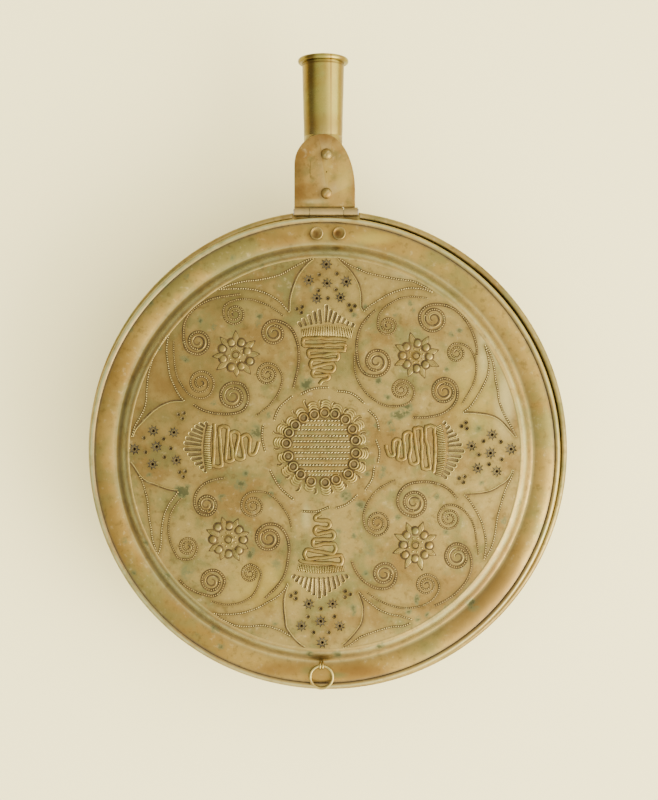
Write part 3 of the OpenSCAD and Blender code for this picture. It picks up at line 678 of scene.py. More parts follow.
def tones(main, warm, olive):
    """A brass's own colour and the two that it shifts to, each as the eye reads it."""
    return {"main": eye_colour(*main), "warm": eye_colour(*warm), "olive": eye_colour(*olive)}


DARK_SPOT = eye_colour(73, 58, 30)
LIGHT_SPOT = eye_colour(175, 158, 110)
VERDIGRIS = eye_colour(86, 94, 63)
STAIN_CORE = eye_colour(48, 52, 33)
WORN_EDGE = eye_colour(199, 185, 136)


class Finish:
    """A surface mixed node by node. A pair (node, output) given as an input is linked."""

    def __init__(self, name):
        self.surface = bpy.data.materials.new(name)
        self.surface.use_nodes = True
        self.tree = self.surface.node_tree
        self.shader = self.tree.nodes["Principled BSDF"]
        self.place = (self.add("ShaderNodeTexCoord"), "Object")

    def give(self, node, socket, value):
        if isinstance(value, tuple) and hasattr(value[0], "outputs"):
            self.tree.links.new(value[0].outputs[value[1]], node.inputs[socket])
        else:
            node.inputs[socket].default_value = value

    def add(self, kind, settings=None, inputs=None):
        node = self.tree.nodes.new(kind)
        for name, value in (settings or {}).items():
            setattr(node, name, value)
        for socket, value in (inputs or {}).items():
            self.give(node, socket, value)
        return node

    def held(self, mark):
        """How much of a mark the piece holds here, as held_marks kept it."""
        return (self.add("ShaderNodeAttribute", {"attribute_name": mark}), "Fac")

    def near(self, middle, reach):
        """1 at a place in millimetres, fading to 0 at its reach along each axis."""
        moved = self.add("ShaderNodeMapping", None, {"Vector": self.place,
            "Location": tuple(-m / r for m, r in zip(middle, reach)),
            "Scale": tuple(1 / (r * MM) for r in reach)})
        far = self.add("ShaderNodeVectorMath", {"operation": "LENGTH"}, {0: (moved, "Vector")})
        return self.between((far, "Value"), 0.2, 1.0, 1.0, 0.0)

    def clouds(self, scale, detail=3.0, rough=0.55, shift=(0, 0, 0), stretch=(1, 1, 1)):
        """Uneven clouds; scale is how many fit in a metre."""
        moved = self.add("ShaderNodeMapping", None,
            {"Vector": self.place, "Location": shift, "Scale": stretch})
        node = self.add("ShaderNodeTexNoise", None,
            {"Vector": (moved, "Vector"), "Scale": scale, "Detail": detail, "Roughness": rough})
        return (node, "Fac")

    def between(self, value, low, high, to_low=0.0, to_high=1.0):
        """A value that runs smoothly from to_low to to_high as another runs from low to high."""
        node = self.add("ShaderNodeMapRange", {"interpolation_type": "SMOOTHSTEP"}, {"Value": value,
            "From Min": low, "From Max": high, "To Min": to_low, "To Max": to_high})
        return (node, "Result")

    def times(self, first, second, how="MULTIPLY"):
        """Two values multiplied, or joined by another sum."""
        node = self.add("ShaderNodeMath", {"operation": how})
        self.give(node, 0, first)
        self.give(node, 1, second)
        return (node, "Value")

    def laid_over(self, share, under, over):
        """One colour over another, by a share from 0 to 1."""
        node = self.add("ShaderNodeMix", {"data_type": "RGBA", "blend_type": "MIX"})
        self.give(node, 0, share)
        self.give(node, 6, under)
        self.give(node, 7, over)
        return (node, 2)

    def relief(self, height, depth, below=None):
        """Bumps: height runs 0 to 1, depth is in millimetres."""
        node = self.add("ShaderNodeBump", None,
            {"Height": height, "Distance": depth * MM, "Strength": 1.0})
        if below:
            self.give(node, "Normal", below)
        return (node, "Normal")


def uneven_tone(f, broad, tint_scale, main, warm, olive):
    """The sheet's own colour, warmer and greener in broad uneven areas."""
    second = f.clouds(tint_scale * 1.7, 4.0, 0.6, shift=(3.1, 0.7, 0.2))
    colour = f.laid_over(f.between(broad, 0.44, 0.64), main, warm)
    return f.laid_over(f.between(second, 0.47, 0.66, 0.0, 0.85), colour, olive)


def mottled_skin(f, colour, strength):
    """Fine lighter and darker spots."""
    mottle = f.clouds(230, 5.0, 0.65, shift=(0.4, 1.9, 0.0))
    colour = f.laid_over(f.between(mottle, 0.30, 0.48, 0.45 * strength, 0.0), colour, DARK_SPOT)
    return f.laid_over(f.between(mottle, 0.56, 0.76, 0.0, 0.42 * strength), colour, LIGHT_SPOT)


def patched(f, colour, broad, patches):
    """Patches at their own places: a colour, how strong, the middle and the reach each way."""
    for tone, strength, middle, reach in patches:
        share = f.times(f.near(middle, reach),
            f.between(broad, 0.30, 0.60, 0.6 * strength, strength))
        colour = f.laid_over(share, colour, tone)
    return colour


def dirt_and_shade(f, colour, grime):
    """Dirt, and on the flange painted shade, darkening the piece where it holds these marks."""
    held = f.held("grime")
    darkened = f.times(held, f.between(f.clouds(150, 4.0, 0.6), 0.30, 0.62, 0.6, 1.0))
    return f.laid_over(darkened, colour, grime)


def hand_polish_and_highlight(f, colour, rubbed):
    """Polish that hands have worn on, and on the flange painted highlights, where the piece holds these
    marks.
    """
    held = f.held("rubbed")
    patchy = f.times(held,
        f.between(f.clouds(90, 4.0, 0.6, shift=(5, 0, 0)), 0.32, 0.55, 0.45, 1.0))
    return f.laid_over(patchy, colour, rubbed)


def green_crumbs(f, strength):
    """How much of a few small crumbs of verdigris lies here, anywhere on the piece."""
    patch = f.between(f.clouds(34, 2.0, 0.5, shift=(0.0, 5.0, 1.0)), 0.54, 0.70)
    crumbs = f.between(f.clouds(330, 4.0, 0.62, shift=(2.0, 0.0, 1.0)), 0.60, 0.69)
    return f.times(f.times(patch, crumbs), strength)


def green_stains(f, colour):
    """Ragged verdigris stains, darker in their middles, where the piece holds their marks."""
    held = f.held("stain")
    ragged = f.times(held,
        f.between(f.clouds(260, 4.0, 0.68, shift=(1, 0, 2)), 0.32, 0.60, 0.25, 1.3))
    colour = f.laid_over(f.between(ragged, 0.10, 0.55, 0.0, 0.6), colour, VERDIGRIS)
    return f.laid_over(f.between(ragged, 0.48, 0.85, 0.0, 0.6), colour, STAIN_CORE)


def old_brass(name, main, warm, olive, rough=(0.32, 0.48), grime=None, stained=False,
        verdigris=0.3, hammer=0.0, worn=0.0, rubbed=None, tint_scale=20, mottled=1.0,
        patches=()):
    """Hand-worked brass: uneven tone, dark pits, green stains, fine scratches and soft dents."""
    f = Finish(name)
    broad = f.clouds(tint_scale, 4.0, 0.6)
    colour = uneven_tone(f, broad, tint_scale, main, warm, olive)
    colour = mottled_skin(f, colour, mottled)
    colour = patched(f, colour, broad, patches)
    if grime:
        colour = dirt_and_shade(f, colour, grime)
    if rubbed:
        colour = hand_polish_and_highlight(f, colour, rubbed)
    green = green_crumbs(f, verdigris)
    colour = f.laid_over(green, colour, VERDIGRIS)
    if stained:
        colour = green_stains(f, colour)
    if worn:
        corner = (f.add("ShaderNodeNewGeometry"), "Pointiness")
        colour = f.laid_over(f.between(corner, 0.515, 0.60, 0.0, worn), colour, WORN_EDGE)

    f.give(f.shader, "Base Color", colour)
    f.shader.inputs["Metallic"].default_value = 1.0
    gloss = f.between(f.clouds(55, 5.0, 0.6, shift=(0.0, 0.0, 4.0)), 0.28, 0.72, *rough)
    f.give(f.shader, "Roughness", f.times(gloss, f.times(green, 0.35), "ADD"))

    scratches = f.clouds(900, 3.0, 0.6, stretch=(1.0, 0.12, 1.0))
    bumps = f.relief(scratches, 0.020)
    bumps = f.relief(f.clouds(420, 4.0, 0.6, shift=(1.0, 1.0, 7.0)), 0.045, bumps)
    if hammer:
        bumps = f.relief(f.clouds(75, 1.5, 0.45, shift=(6.0, 2.0, 0.0)), hammer, bumps)
    f.give(f.shader, "Normal", bumps)
    return f.surface


def dark_bed(name, main, deep, rough=0.55):
    """The bottom of chased lines and pierced cuts, where black-brown dirt stays; the same dark finish is
    also laid as painted shade beside raised work.
    """
    f = Finish(name)
    broad = f.between(f.clouds(160, 4.0, 0.6), 0.35, 0.65)
    colour = f.laid_over(broad, main, deep)
    colour = f.laid_over(f.between(f.clouds(380, 3.0, 0.6, shift=(0, 3, 0)), 0.58, 0.72, 0.0, 0.55),
        colour, eye_colour(120, 112, 68))
    f.give(f.shader, "Base Color", colour)
    f.shader.inputs["Metallic"].default_value = 0.75
    f.give(f.shader, "Roughness", f.between(broad, 0.0, 1.0, rough, rough + 0.2))
    f.give(f.shader, "Normal", f.relief(f.clouds(700, 3.0, 0.6), 0.05))
    return f.surface


def forged_iron(name, rust=0.35):
    """Black oxide with scale, rubbed edges and a little rust."""
    f = Finish(name)
    scale_pits = f.clouds(140, 5.0, 0.62)
    colour = f.laid_over(f.between(scale_pits, 0.35, 0.65), eye_colour(66, 60, 57),
        eye_colour(112, 104, 98))
    rusty = f.between(f.clouds(60, 4.0, 0.6, shift=(0, 0, 3)), 0.54, 0.68, 0.0, rust)
    colour = f.laid_over(rusty, colour, eye_colour(124, 74, 44))
    corner = (f.add("ShaderNodeNewGeometry"), "Pointiness")
    colour = f.laid_over(f.between(corner, 0.52, 0.62, 0.0, 0.7), colour, eye_colour(168, 162, 155))
    f.give(f.shader, "Base Color", colour)
    f.shader.inputs["Metallic"].default_value = 0.85
    f.give(f.shader, "Roughness", f.between(scale_pits, 0.3, 0.7, 0.42, 0.68))
    bumps = f.relief(f.clouds(500, 3.0, 0.6), 0.06)
    f.give(f.shader, "Normal", f.relief(f.clouds(90, 3.0, 0.5, shift=(1, 0, 0)), 0.35, bumps))
    return f.surface


# Tones of the patches, and a reach along an axis that never fades
DEEP_BROWN, BROWN = eye_colour(70, 50, 24), eye_colour(102, 74, 34)
TAN, OLIVE = eye_colour(108, 85, 43), eye_colour(94, 91, 50)
GOLD, PALE = eye_colour(160, 140, 66), eye_colour(190, 178, 118)
FAR = 1e6
SHEET_TONES = tones((136, 117, 66), (116, 94, 50), (106, 101, 58))

pan_brass = old_brass("pan_brass", **SHEET_TONES, hammer=0.5, worn=0.2,
    patches=((TAN, 0.85, (96, -112, 67), (80, 70, 14)), (OLIVE, 0.5, (140, 40, 67), (20, 60, 14))))
# Painted light on the lid's field: the tan patch on the left is painted shade, the gold and pale patches
# on the right and upper right are painted highlights; the other patches are uneven tone.
lid_brass = old_brass("lid_brass", **SHEET_TONES, grime=eye_colour(80, 64, 31), hammer=0.18,
    stained=True, tint_scale=30, patches=((TAN, 0.55, (-92, 40, 80), (52, 60, FAR)),
        (OLIVE, 0.5, (-60, 96, 80), (30, 22, FAR)), (TAN, 0.45, (60, -70, 80), (50, 40, FAR)),
        (OLIVE, 0.5, (8, 52, 80), (16, 22, FAR)), (PALE, 0.35, (-13.5, -41, 80), (4.5, 13, FAR)),
        (GOLD, 0.5, (-40, -84, 80), (34, 22, FAR)), (GOLD, 0.4, (92, 36, 80), (26, 40, FAR)),
        (PALE, 0.4, (100, 62, 80), (12, 26, FAR)), (PALE, 0.45, (111, 30, 80), (9, 28, FAR)),
        (PALE, 0.3, (50, 110, 80), (20, 7, FAR))))
# Painted light on the flange: the deep brown patches below and left of the lid's rivets are painted
# shadows, and the tan band down the left side is painted shade.
flange_brass = old_brass("flange_brass", **tones((140, 116, 59), (124, 98, 46), (112, 104, 56)),
    hammer=0.25, worn=0.15, grime=eye_colour(92, 81, 62), rubbed=eye_colour(166, 164, 116),
    stained=True, tint_scale=16, patches=((DEEP_BROWN, 0.9, (-8.6, 135.9, 75), (7.2, 6.8, 8)),
        (DEEP_BROWN, 0.9, (5.6, 135.9, 75), (7.2, 6.8, 8)), (BROWN, 0.85, (20, -139.5, 74), (26, 7, 9)),
        (BROWN, 0.85, (-30, -138, 74), (24, 7, 9)), (OLIVE, 0.7, (6, -142, 74), (9, 3, 9)),
        (OLIVE, 0.6, (-13, -139, 74), (6, 4, 9)), (GOLD, 0.7, (30, 134, 74), (20, 6, 9)),
        (BROWN, 0.5, (-30, 133, 74), (18, 7, 9)), (TAN, 0.3, (-139, 20, 74), (15, 110, 9)),
        (OLIVE, 0.3, (88, 106, 74), (36, 28, 9)), (TAN, 0.3, (-96, -92, 74), (22, 30, 9)),
        (TAN, 0.9, (104, -100, 74), (60, 54, 20)), (OLIVE, 0.5, (60, -126, 74), (20, 12, 9))))
# Painted light on the hinge plate: brown down its left edge and near the barrel is painted shade, the deep
# brown spots left of the rivets are painted shadows, the thin deep brown line at the barrel's foot is
# painted crease shade, and the gold streaks and the pale band near the barrel are painted highlights; the
# plate is also darker towards its far end and right side.
hinge_brass = old_brass("hinge_brass", **tones((138, 112, 58), (122, 92, 44), (108, 94, 50)),
    hammer=0.5, worn=0.2, tint_scale=50, patches=((BROWN, 0.65, (-20, 172, 72), (8, 30, FAR)),
        (BROWN, 0.6, (-12, 163, 72), (13, 9, FAR)), (BROWN, 0.55, (-6, 198, 72), (20, 7, FAR)),
        (BROWN, 0.5, (17, 166, 72), (6, 12, FAR)), (DEEP_BROWN, 0.8, (-2.4, 187.2, 72), (6, 6, FAR)),
        (DEEP_BROWN, 0.75, (-3.0, 162.6, 72), (6, 5.5, FAR)), (GOLD, 0.5, (0, 176, 72), (5, 14, FAR)),
        (GOLD, 0.6, (10, 172, 72), (8, 16, FAR)), (PALE, 0.3, (-8, 157.6, 72), (12, 2.4, FAR)),
        (DEEP_BROWN, 0.75, (0, 153.9, 72), (FAR, 0.9, FAR)),
        (TAN, 0.85, (0, 150.6, 75), (FAR, 3.6, FAR))))
# Painted light on the socket, in bands along it: deep brown on the left and tan on the right are painted
# shade, the gold in the middle is a painted highlight with a thin brown painted reflection line in it, and
# the deep brown ring near the mouth is painted shade.
socket_brass = old_brass("socket_brass", **tones((132, 120, 58), (128, 108, 46), (126, 120, 60)),
    rough=(0.24, 0.36), hammer=0.05, worn=0.2, tint_scale=30, mottled=0.4,
    patches=((DEEP_BROWN, 0.8, (-11.2, 0, 0), (4.6, FAR, FAR)),
        (GOLD, 0.6, (2.2, 0, 0), (4.8, FAR, FAR)), (TAN, 0.9, (8.8, 0, 0), (3.0, FAR, FAR)),
        (BROWN, 0.6, (2.0, 0, 0), (0.9, FAR, FAR)), (DEEP_BROWN, 0.7, (0, 246.6, 0), (FAR, 0.9, FAR)),
        (TAN, 0.5, (0, 208, 0), (FAR, 9, FAR))))
# The deep brown patches in the lid rivets' dishes, off to their left, are painted shade.
rivet_brass = old_brass("rivet_brass", **tones((128, 108, 58), (126, 98, 46), (104, 94, 52)),
    worn=0.15, verdigris=0.4, hammer=0.1, tint_scale=90,
    patches=((DEEP_BROWN, 1.0, (-7.9, 136.6, 76), (5.0, 5.0, FAR)),
        (DEEP_BROWN, 1.0, (6.3, 136.6, 76), (5.0, 5.0, FAR))))
wire_brass = old_brass("wire_brass", **tones((158, 142, 84), (146, 122, 66), (134, 122, 70)),
    rough=(0.24, 0.36), verdigris=0.1, tint_scale=120)
bright_brass = old_brass("bright_brass", **tones((180, 166, 110), (170, 152, 94), (164, 154, 100)),
    rough=(0.26, 0.38), verdigris=0.1)
rubbed_brass = old_brass("rubbed_brass", **tones((164, 148, 90), (154, 134, 76), (148, 138, 80)),
    rough=(0.26, 0.38), verdigris=0.1)
ridge_brass = old_brass("ridge_brass", **tones((138, 120, 68), (136, 114, 58), (128, 116, 64)),
    rough=(0.28, 0.42), verdigris=0.2)
scroll_brass = old_brass("scroll_brass", **tones((124, 107, 61), (119, 98, 52), (111, 102, 58)),
    rough=(0.28, 0.42), verdigris=0.2, tint_scale=60)
cord_brass = old_brass("cord_brass", **tones((124, 105, 56), (120, 97, 48), (112, 100, 54)),
    rough=(0.30, 0.44), verdigris=0.1, tint_scale=60)
boss_brass = old_brass("boss_brass", **tones((122, 106, 60), (120, 98, 50), (106, 99, 58)),
    rough=(0.24, 0.36), verdigris=0.3, tint_scale=60)
cut_brass = dark_bed("cut_brass", eye_colour(88, 70, 38), eye_colour(60, 46, 24))
struck_brass = dark_bed("struck_brass", eye_colour(84, 74, 52), eye_colour(63, 56, 41), 0.5)
# line_brass also serves as painted shade: the hook shadows, the cups' shaded feet and the leaf shades.
line_brass = dark_bed("line_brass", eye_colour(80, 63, 32), eye_colour(59, 46, 24), 0.5)
flute_brass = dark_bed("flute_brass", eye_colour(98, 82, 46), eye_colour(80, 67, 38), 0.42)
hole_brass = dark_bed("hole_brass", eye_colour(92, 78, 46), eye_colour(72, 60, 34), 0.5)
bracket_iron = forged_iron("bracket_iron")
wire_iron = forged_iron("wire_iron", 0.2)


# ---- The pan --------------------------------------------------------------------------------

def pan_line():
    """The middle of the pan's sheet, from the base's centre to the end of the rolled rim."""
    half = PAN_SHEET / 2
    line = [(r, half) for r in (0, 30, 60, 85, BASE_R)]
    line += turn_points((BASE_R, BEND_R), BEND_R - half, -90, -14, 9)[1:]
    foot_r, foot_z = line[-1]
    for z in (28, 38, 48, 56, 61.5):
        line.append((foot_r + (z - foot_z) * math.tan(WALL_LEAN), z))
    r, z, roll = PAN_ROLL
    line += [(145.6, 64.3), (147.1, 65.7)]
    line += turn_points((r, z), roll - half, 178, -112, 18)
    return line


def middle_sheet(line, thickness):
    """The closed section of a sheet with this line along its middle."""
    sides = []
    for side in (-0.5, 0.5):
        moved = []
        for i, (r, z) in enumerate(line):
            before, after = line[max(i - 1, 0)], line[min(i + 1, len(line) - 1)]
            run, rise = after[0] - before[0], after[1] - before[1]
            reach = math.hypot(run, rise) or 1.0
            moved.append((max(r - side * thickness * rise / reach, 0.0),
                z + side * thickness * run / reach))
        sides.append(moved)
    return sides[0] + sides[1][::-1]


def build_pan_body():
    piece = spun("raised_brass_pan", middle_sheet(pan_line(), PAN_SHEET), 192)

    # raised by hand over a stake: the wall waves a little, always towards the inside
    places = places_of(piece)
    for i, (x, y, z) in enumerate(places):
        r = math.hypot(x, y)
        if 4 < z < 61 and r > 90:
            wave, small = waves(x, y, 0.022, z * 0.03), waves(x, y, 0.07, z * 0.09 + 5)
            push = -(0.35 + 0.35 * wave + 0.22 * small) * min(1, (z - 4) / 8, (61 - z) / 8)
            places[i, 0] += push * x / r
            places[i, 1] += push * y / r
        elif z < 3 and 8 < r < 104:
            lift = 0.10 + 0.10 * waves(x, y, 0.03, 2)
            places[i, 2] += lift * min(1, (r - 8) / 20, (104 - r) / 14)
    move_to(piece, places)

    # the rim is filed down where the hinge's barrel lies on it
    cut_away(piece, block("rim_notch", (BARREL_LEFT - 1.5, 140.4, 69.1),
        (BARREL_RIGHT + 1.5, 156.4, 75.1)))
    return fit(piece, "pan", "pan_brass", "pan_body", finish=pan_brass)


def plate_outline(side, half, shoulder_y):
    """Half of the hinge plate's outline, from its shoulder to the middle of its end."""
    return [(PLATE_X + side * half * math.cos(a),
        shoulder_y + (PLATE_END_Y - shoulder_y) * math.sin(a))
        for a in np.radians(range(0, 91, 6))]


def build_hinge_plate():
    """The sawn brass plate, with the two outer knuckles of the barrel."""
    root = HINGE_Y - 0.2
    right = plate_outline(1, 20, 165)
    left = plate_outline(-1, 18.5, 181)
    outline = [(BARREL_LEFT, root), (PLATE_X + 20, root)] + right + left[::-1][1:]
    piece = sawn_plate("sawn_hinge_plate", outline, PLATE_Z, PLATE_Z + PLATE_T, 0.45)
    for start, end in ((BARREL_LEFT, GAP_LEFT), (GAP_RIGHT, BARREL_RIGHT)):
        add_to(piece, lying_rod("knuckle", BARREL_R, start, end, HINGE_Y, HINGE_Z))
    cut_away(piece, block("leaf_gap", (GAP_LEFT, HINGE_Y - 4, 66), (GAP_RIGHT, HINGE_Y + 3.3, 80)))
    cut_away(piece, lying_rod("pin_way", PIN_R, BARREL_LEFT - 2.8, BARREL_RIGHT + 3.1,
        HINGE_Y, HINGE_Z))
    for y in PLATE_RIVETS_Y.values():
        cut_away(piece, upright_rod("rivet_way", RIVET_SHANK_R, 66, 76, PLATE_RIVET_X, y))

    # an old crack in the sheet, and the mark of a punch
    top = PLATE_Z + PLATE_T
    crack = drawn_wire("crack", [smooth_line([(-11.3, 184.2), (-11.0, 180.4), (-11.3, 177.0),
        (-11.0, 172.6)], 0.8)], 0.2, 0.4)
    punch = turned("punch", [(0.55, 1.0), (0.5, 0.1), (0.1, -0.6)], 10)
    move_to(crack, places_of(crack) + (0, 0, top))
    move_to(punch, places_of(punch) + (-0.8, 176.3, top))
    only_finish(piece, hinge_brass)
    for tool in (crack, punch):
        only_finish(tool, cut_brass)
        cut_away(piece, tool)
    return fit(piece, "pan", "hinge_brass", "hinge_plate", smooth=18)


def build_rivets():
    """The two domed rivets of the hinge plate and the two dished ones on the lid's flange."""
    domed = [(0.9, 73.64), (1.8, 73.36), (2.7, 72.85), (3.3, 72.2), (3.6, 71.72),
        (RIVET_SHANK_R, 71.68), (RIVET_SHANK_R, 61.2), (3.6, 61.18), (3.6, 59.75)]
    for where, y in PLATE_RIVETS_Y.items():
        piece = turned("domed_rivet_" + where, domed, 28)
        move_to(piece, places_of(piece) + (PLATE_RIVET_X, y, 0))
        fit(piece, "pan", "rivet_brass", "plate_rivet_" + where, finish=rivet_brass, smooth=50)
    dished = [(1.6, 75.36), (2.7, 75.44), (3.3, 75.92), (3.7, 76.08), (4.1, 75.9), (4.25, 75.5),
        (4.25, 74.2), (1.8, 74.15), (1.8, 72.7), (3.2, 72.6), (3.2, 71.55)]
    for where, x in LID_RIVETS_X.items():
        piece = turned("dished_rivet_" + where, dished, 32)
        move_to(piece, places_of(piece) + (x, LID_RIVET_Y, 0))
        fit(piece, "lid", "rivet_brass", "lid_rivet_" + where, finish=rivet_brass, smooth=50)


build_pan_body()
build_hinge_plate()
build_rivets()


# ---- The lid's sheet ------------------------------------------------------------------------

def flange_line():
    """The middle of the lid's sheet, from the field's edge to the end of the rolled wire."""
    half = LID_SHEET / 2
    line = [(122.6, FIELD_Z - half - 0.05), (123.1, FIELD_Z - half + 0.20),
        (123.6, FIELD_Z - half + 0.22), (124.1, FIELD_Z - half - 0.02)]
    for i in range(1, 12):
        u = 0.08 + 0.92 * i / 11
        line.append((FIELD_R + (FOOT_R - FIELD_R) * u,
            FIELD_Z - (FIELD_Z - FLANGE_Z) * u * u * (3 - 2 * u) - half))
    for i in range(1, 10):
        r = FOOT_R + (FLANGE_END_R - 0.2 - FOOT_R) * i / 9
        line.append((r, crown_z(r) - half))
    r, z, roll = LID_ROLL
    line += turn_points((r, z), roll - half, 148, -150, 24)
    return line


# Marks on the flange, in rings: radius, reach and strength. Some are strongest towards one side,
# given as a way in X and Y: painted shade on the moulding towards the left, painted highlights on the roll
# and the moulding towards the upper left
FLANGE_RINGS = {
    "grime": [(145.7, 0.55, 1.0), (130.0, 1.0, 0.2), (133.9, 0.7, 0.3), (124.9, 0.4, 0.35)],
    "rubbed": [(147.9, 0.9, 0.35), (123.4, 0.35, 0.3), (126.4, 1.3, 0.45), (132.4, 0.6, 0.5)],
}
SIDE_RINGS = {
    "grime": [(127.8, 2.8, 0.4, (-0.95, -0.3))],
    "rubbed": [(147.7, 0.9, 0.7, (-0.9, 0.44)), (128.5, 2.8, 0.3, (-0.9, 0.44))],
}


def ring_marks(piece, name):
    """Keeps a mark on the flange, ring by ring."""
    across, up = (places_of(piece)[:, :2] - (LID_X, LID_Y)).T
    radii = np.hypot(across, up)
    held = sum(most * np.exp(-((radii - r) / reach) ** 2) for r, reach, most in FLANGE_RINGS[name])
    for r, reach, most, (way_x, way_y) in SIDE_RINGS[name]:
        side = 0.5 + 0.5 * (across * way_x + up * way_y) / radii
        held += most * side * np.exp(-((radii - r) / reach) ** 2)
    keep_mark(piece, name, np.minimum(held, 1.0))


def build_lid_flange():
    piece = spun("lid_flange_and_rolled_edge", middle_sheet(flange_line(), LID_SHEET), 256,
        (LID_X, LID_Y))
    places = places_of(piece)
    for i, (x, y, _) in enumerate(places):
        r = math.hypot(x - LID_X, y - LID_Y)
        if 133 < r < 144.5:
            still = min(1, (r - 133) / 4, (144.5 - r) / 4)
            places[i, 2] += 0.12 * still * waves(x, y, 0.05, 8)
    move_to(piece, places)
    held_marks(piece, "stain", STAINS)
    for name in FLANGE_RINGS:
        ring_marks(piece, name)
    return fit(piece, "lid", "lid_brass", "lid", finish=flange_brass)


def disc_place(u, v):
    """Carries a place on a square, -1 to 1 each way, to its place on a round disc."""
    if u == 0 and v == 0:
        return 0.0, 0.0
    if abs(u) > abs(v):
        r, turn = u, math.pi / 4 * v / u
    else:
        r, turn = v, math.pi / 2 - math.pi / 4 * u / v
    return r * math.cos(turn), r * math.sin(turn)


def in_threes():
    """The middles of the small holes that stand in threes."""
    return [(x + TREFOIL_R * math.cos(math.radians(turn + a)),
        y + TREFOIL_R * math.sin(math.radians(turn + a)))
        for x, y, turn in TREFOILS for a in (0, 120, 240)]


def star_outline(outer, inner):
    """The outline of a struck star, its points alternately far from and near its middle."""
    steps = [math.pi * i / STAR_POINTS for i in range(2 * STAR_POINTS)]
    return [((outer, inner)[i % 2] * math.cos(a), (outer, inner)[i % 2] * math.sin(a))
        for i, a in enumerate(steps)]


def star_turns():
    """Each star's place, the way it is turned and its size: no two were struck alike."""
    return [(x, y, 0.37 * i % 0.78, 1.0 - 0.05 * (i % 3)) for i, (x, y) in enumerate(STARS)]


def flute_sizes(key):
    """Each flute of a fan: its tip, its foot and the width that the fan leaves it there."""
    tips, feet = FANS[key]
    sized = []
    for i, (tip, foot) in enumerate(zip(tips, feet)):
        ahead = (np.array(tip) - foot) / math.dist(tip, foot)
        apart = []
        for row, own in ((tips, tip), (feet, foot)):
            sideways = [abs(ahead[0] * (row[j][1] - own[1]) - ahead[1] * (row[j][0] - own[0]))
                for j in (i - 1, i + 1) if 0 <= j < len(row)]
            apart.append(0.80 * min(sideways))
        at_tip, at_foot = apart
        sized.append((tip, foot, min(max(at_tip, 1.7), 2.3), min(max(at_foot, 1.4), 1.9)))
    return sized


def lying_ball(sides):
    """A ball one millimetre in radius, its poles along X."""
    clear_selection()
    bpy.ops.mesh.primitive_uv_sphere_add(segments=sides, ring_count=sides, radius=MM)
    ball = named("ball")
    move_to(ball, places_of(ball)[:, [2, 0, 1]])
    return ball


def long_lobe(tip, foot, wide, narrow, high):
    """A layout that stretches a lying ball from foot to tip: narrow at its foot, wide at its
    tip, round at both ends and high in its middle."""
    long = math.dist(tip, foot)
    c, s = (np.array(tip) - foot) / long

    def layout(places):
        outer = places[:, 0] > -0.01
        half = np.where(outer, wide, narrow) / 2
        run = np.where(outer, long - wide / 2, narrow / 2) + places[:, 0] * half
        across = places[:, 1] * half
        places[:, 0] = foot[0] + c * run - s * across
        places[:, 1] = foot[1] + s * run + c * across
        places[:, 2] *= high
        return places

    return layout


def cutting_tools():
    """The solids that pierce, strike and sink the field: each with the finish that its cuts
    keep, and whether its own parts cross."""
    drill = [(1.35, 3), (1.35, 0.1), (0.62, -0.75), (0.62, -3)]
    dished_drill = [(1.4, 3), (1.4, 0.1), (1.15, -0.4), (0.42, -0.7), (0.42, -3)]
    plain = gathered("plain_holes", turned("drill", dished_drill, 14),
        [set_down(x, y) for x, y in PLAIN_HOLES])
    small = gathered("small_holes", turned("drill", dished_drill, 12),
        [set_down(x, y, size=0.98) for x, y in in_threes()])
    struck = gathered("struck_stars", sawn_plate("punch", star_outline(4.0, 2.2), -0.36, 2.0, 0),
        [set_down(x, y, turn, size, 1.0, 0.36 * (size - 1)) for x, y, turn, size in star_turns()])
    holes = gathered("star_holes", turned("drill", drill, 16), [set_down(x, y) for x, y in STARS])
    flutes = gathered("flutes", lying_ball(10),
        [long_lobe(*size, 0.5) for key in FANS for size in flute_sizes(key)])
    return ((plain, hole_brass, False), (small, hole_brass, False), (struck, struck_brass, False),
        (holes, cut_brass, False), (flutes, flute_brass, True))


def build_lid_field():
    clear_selection()
    bpy.ops.mesh.primitive_grid_add(x_subdivisions=160, y_subdivisions=160, size=2)
    piece = named("domed_lid_field")
    laid = []
    for u, v, _ in places_of(piece) * MM:
        x, y = disc_place(u, v)
        x, y = LID_X + x * FIELD_END_R, LID_Y + y * FIELD_END_R
        laid.append((x, y, field_z(x, y)))
    move_to(piece, laid)
    piece.data.materials.append(lid_brass)
    with_modifier(piece, "SOLIDIFY", thickness=LID_SHEET * MM, offset=-1)

    for tool, inside, crossing in cutting_tools():
        drape(tool)
        only_finish(tool, inside)
        tidy_faces(tool, 0.0)
        cut_away(piece, tool, crossing)
    held_marks(piece, "stain", STAINS)
    lay_grime(piece)
    return fit(piece, "lid", "lid_brass", "lid", smooth=30)


def lay_grime(piece):
    """Marks where dirt has settled: round the chased lines, the cups and the pierced work."""
    marks = []
    for spots, reach, strength in ((STARS, 4.0, 0.6), (PLAIN_HOLES, 2.4, 0.5),
            (in_threes(), 2.6, 0.5), (CUPS, 6.0, 0.5)):
        marks += [(x, y, reach, strength) for x, y in spots]
    for _, centre, tail in SCROLLS:
        marks.append((*centre, 5.0, 0.4))
        marks += [(x, y, 2.4, 0.4) for x, y in smooth_line(tail, 3.0)]
    for lines in SPANDREL_LINES.values():
        for line in lines:
            marks += [(x, y, 2.2, 0.35) for x, y in smooth_line(line, 3.0)]
    held_marks(piece, "grime", marks, 0.95)


build_lid_flange()
build_lid_field()


# ---- Chased work, laid on the field ---------------------------------------------------------

def lay_lines(name, lines, width, height, finish, sides=1, taper=None):
    """A piece of chased lines, each drawn as a low wire or strip on the field."""
    relief_piece(drawn_wire(name, lines, width, height, sides, taper), finish)


def stamp(name, shape, spots, finish):
    """A piece of one shape stamped at many spots, each given as set_down takes it."""
    relief_piece(gathered(name, shape, [set_down(*spot) for spot in spots]), finish)


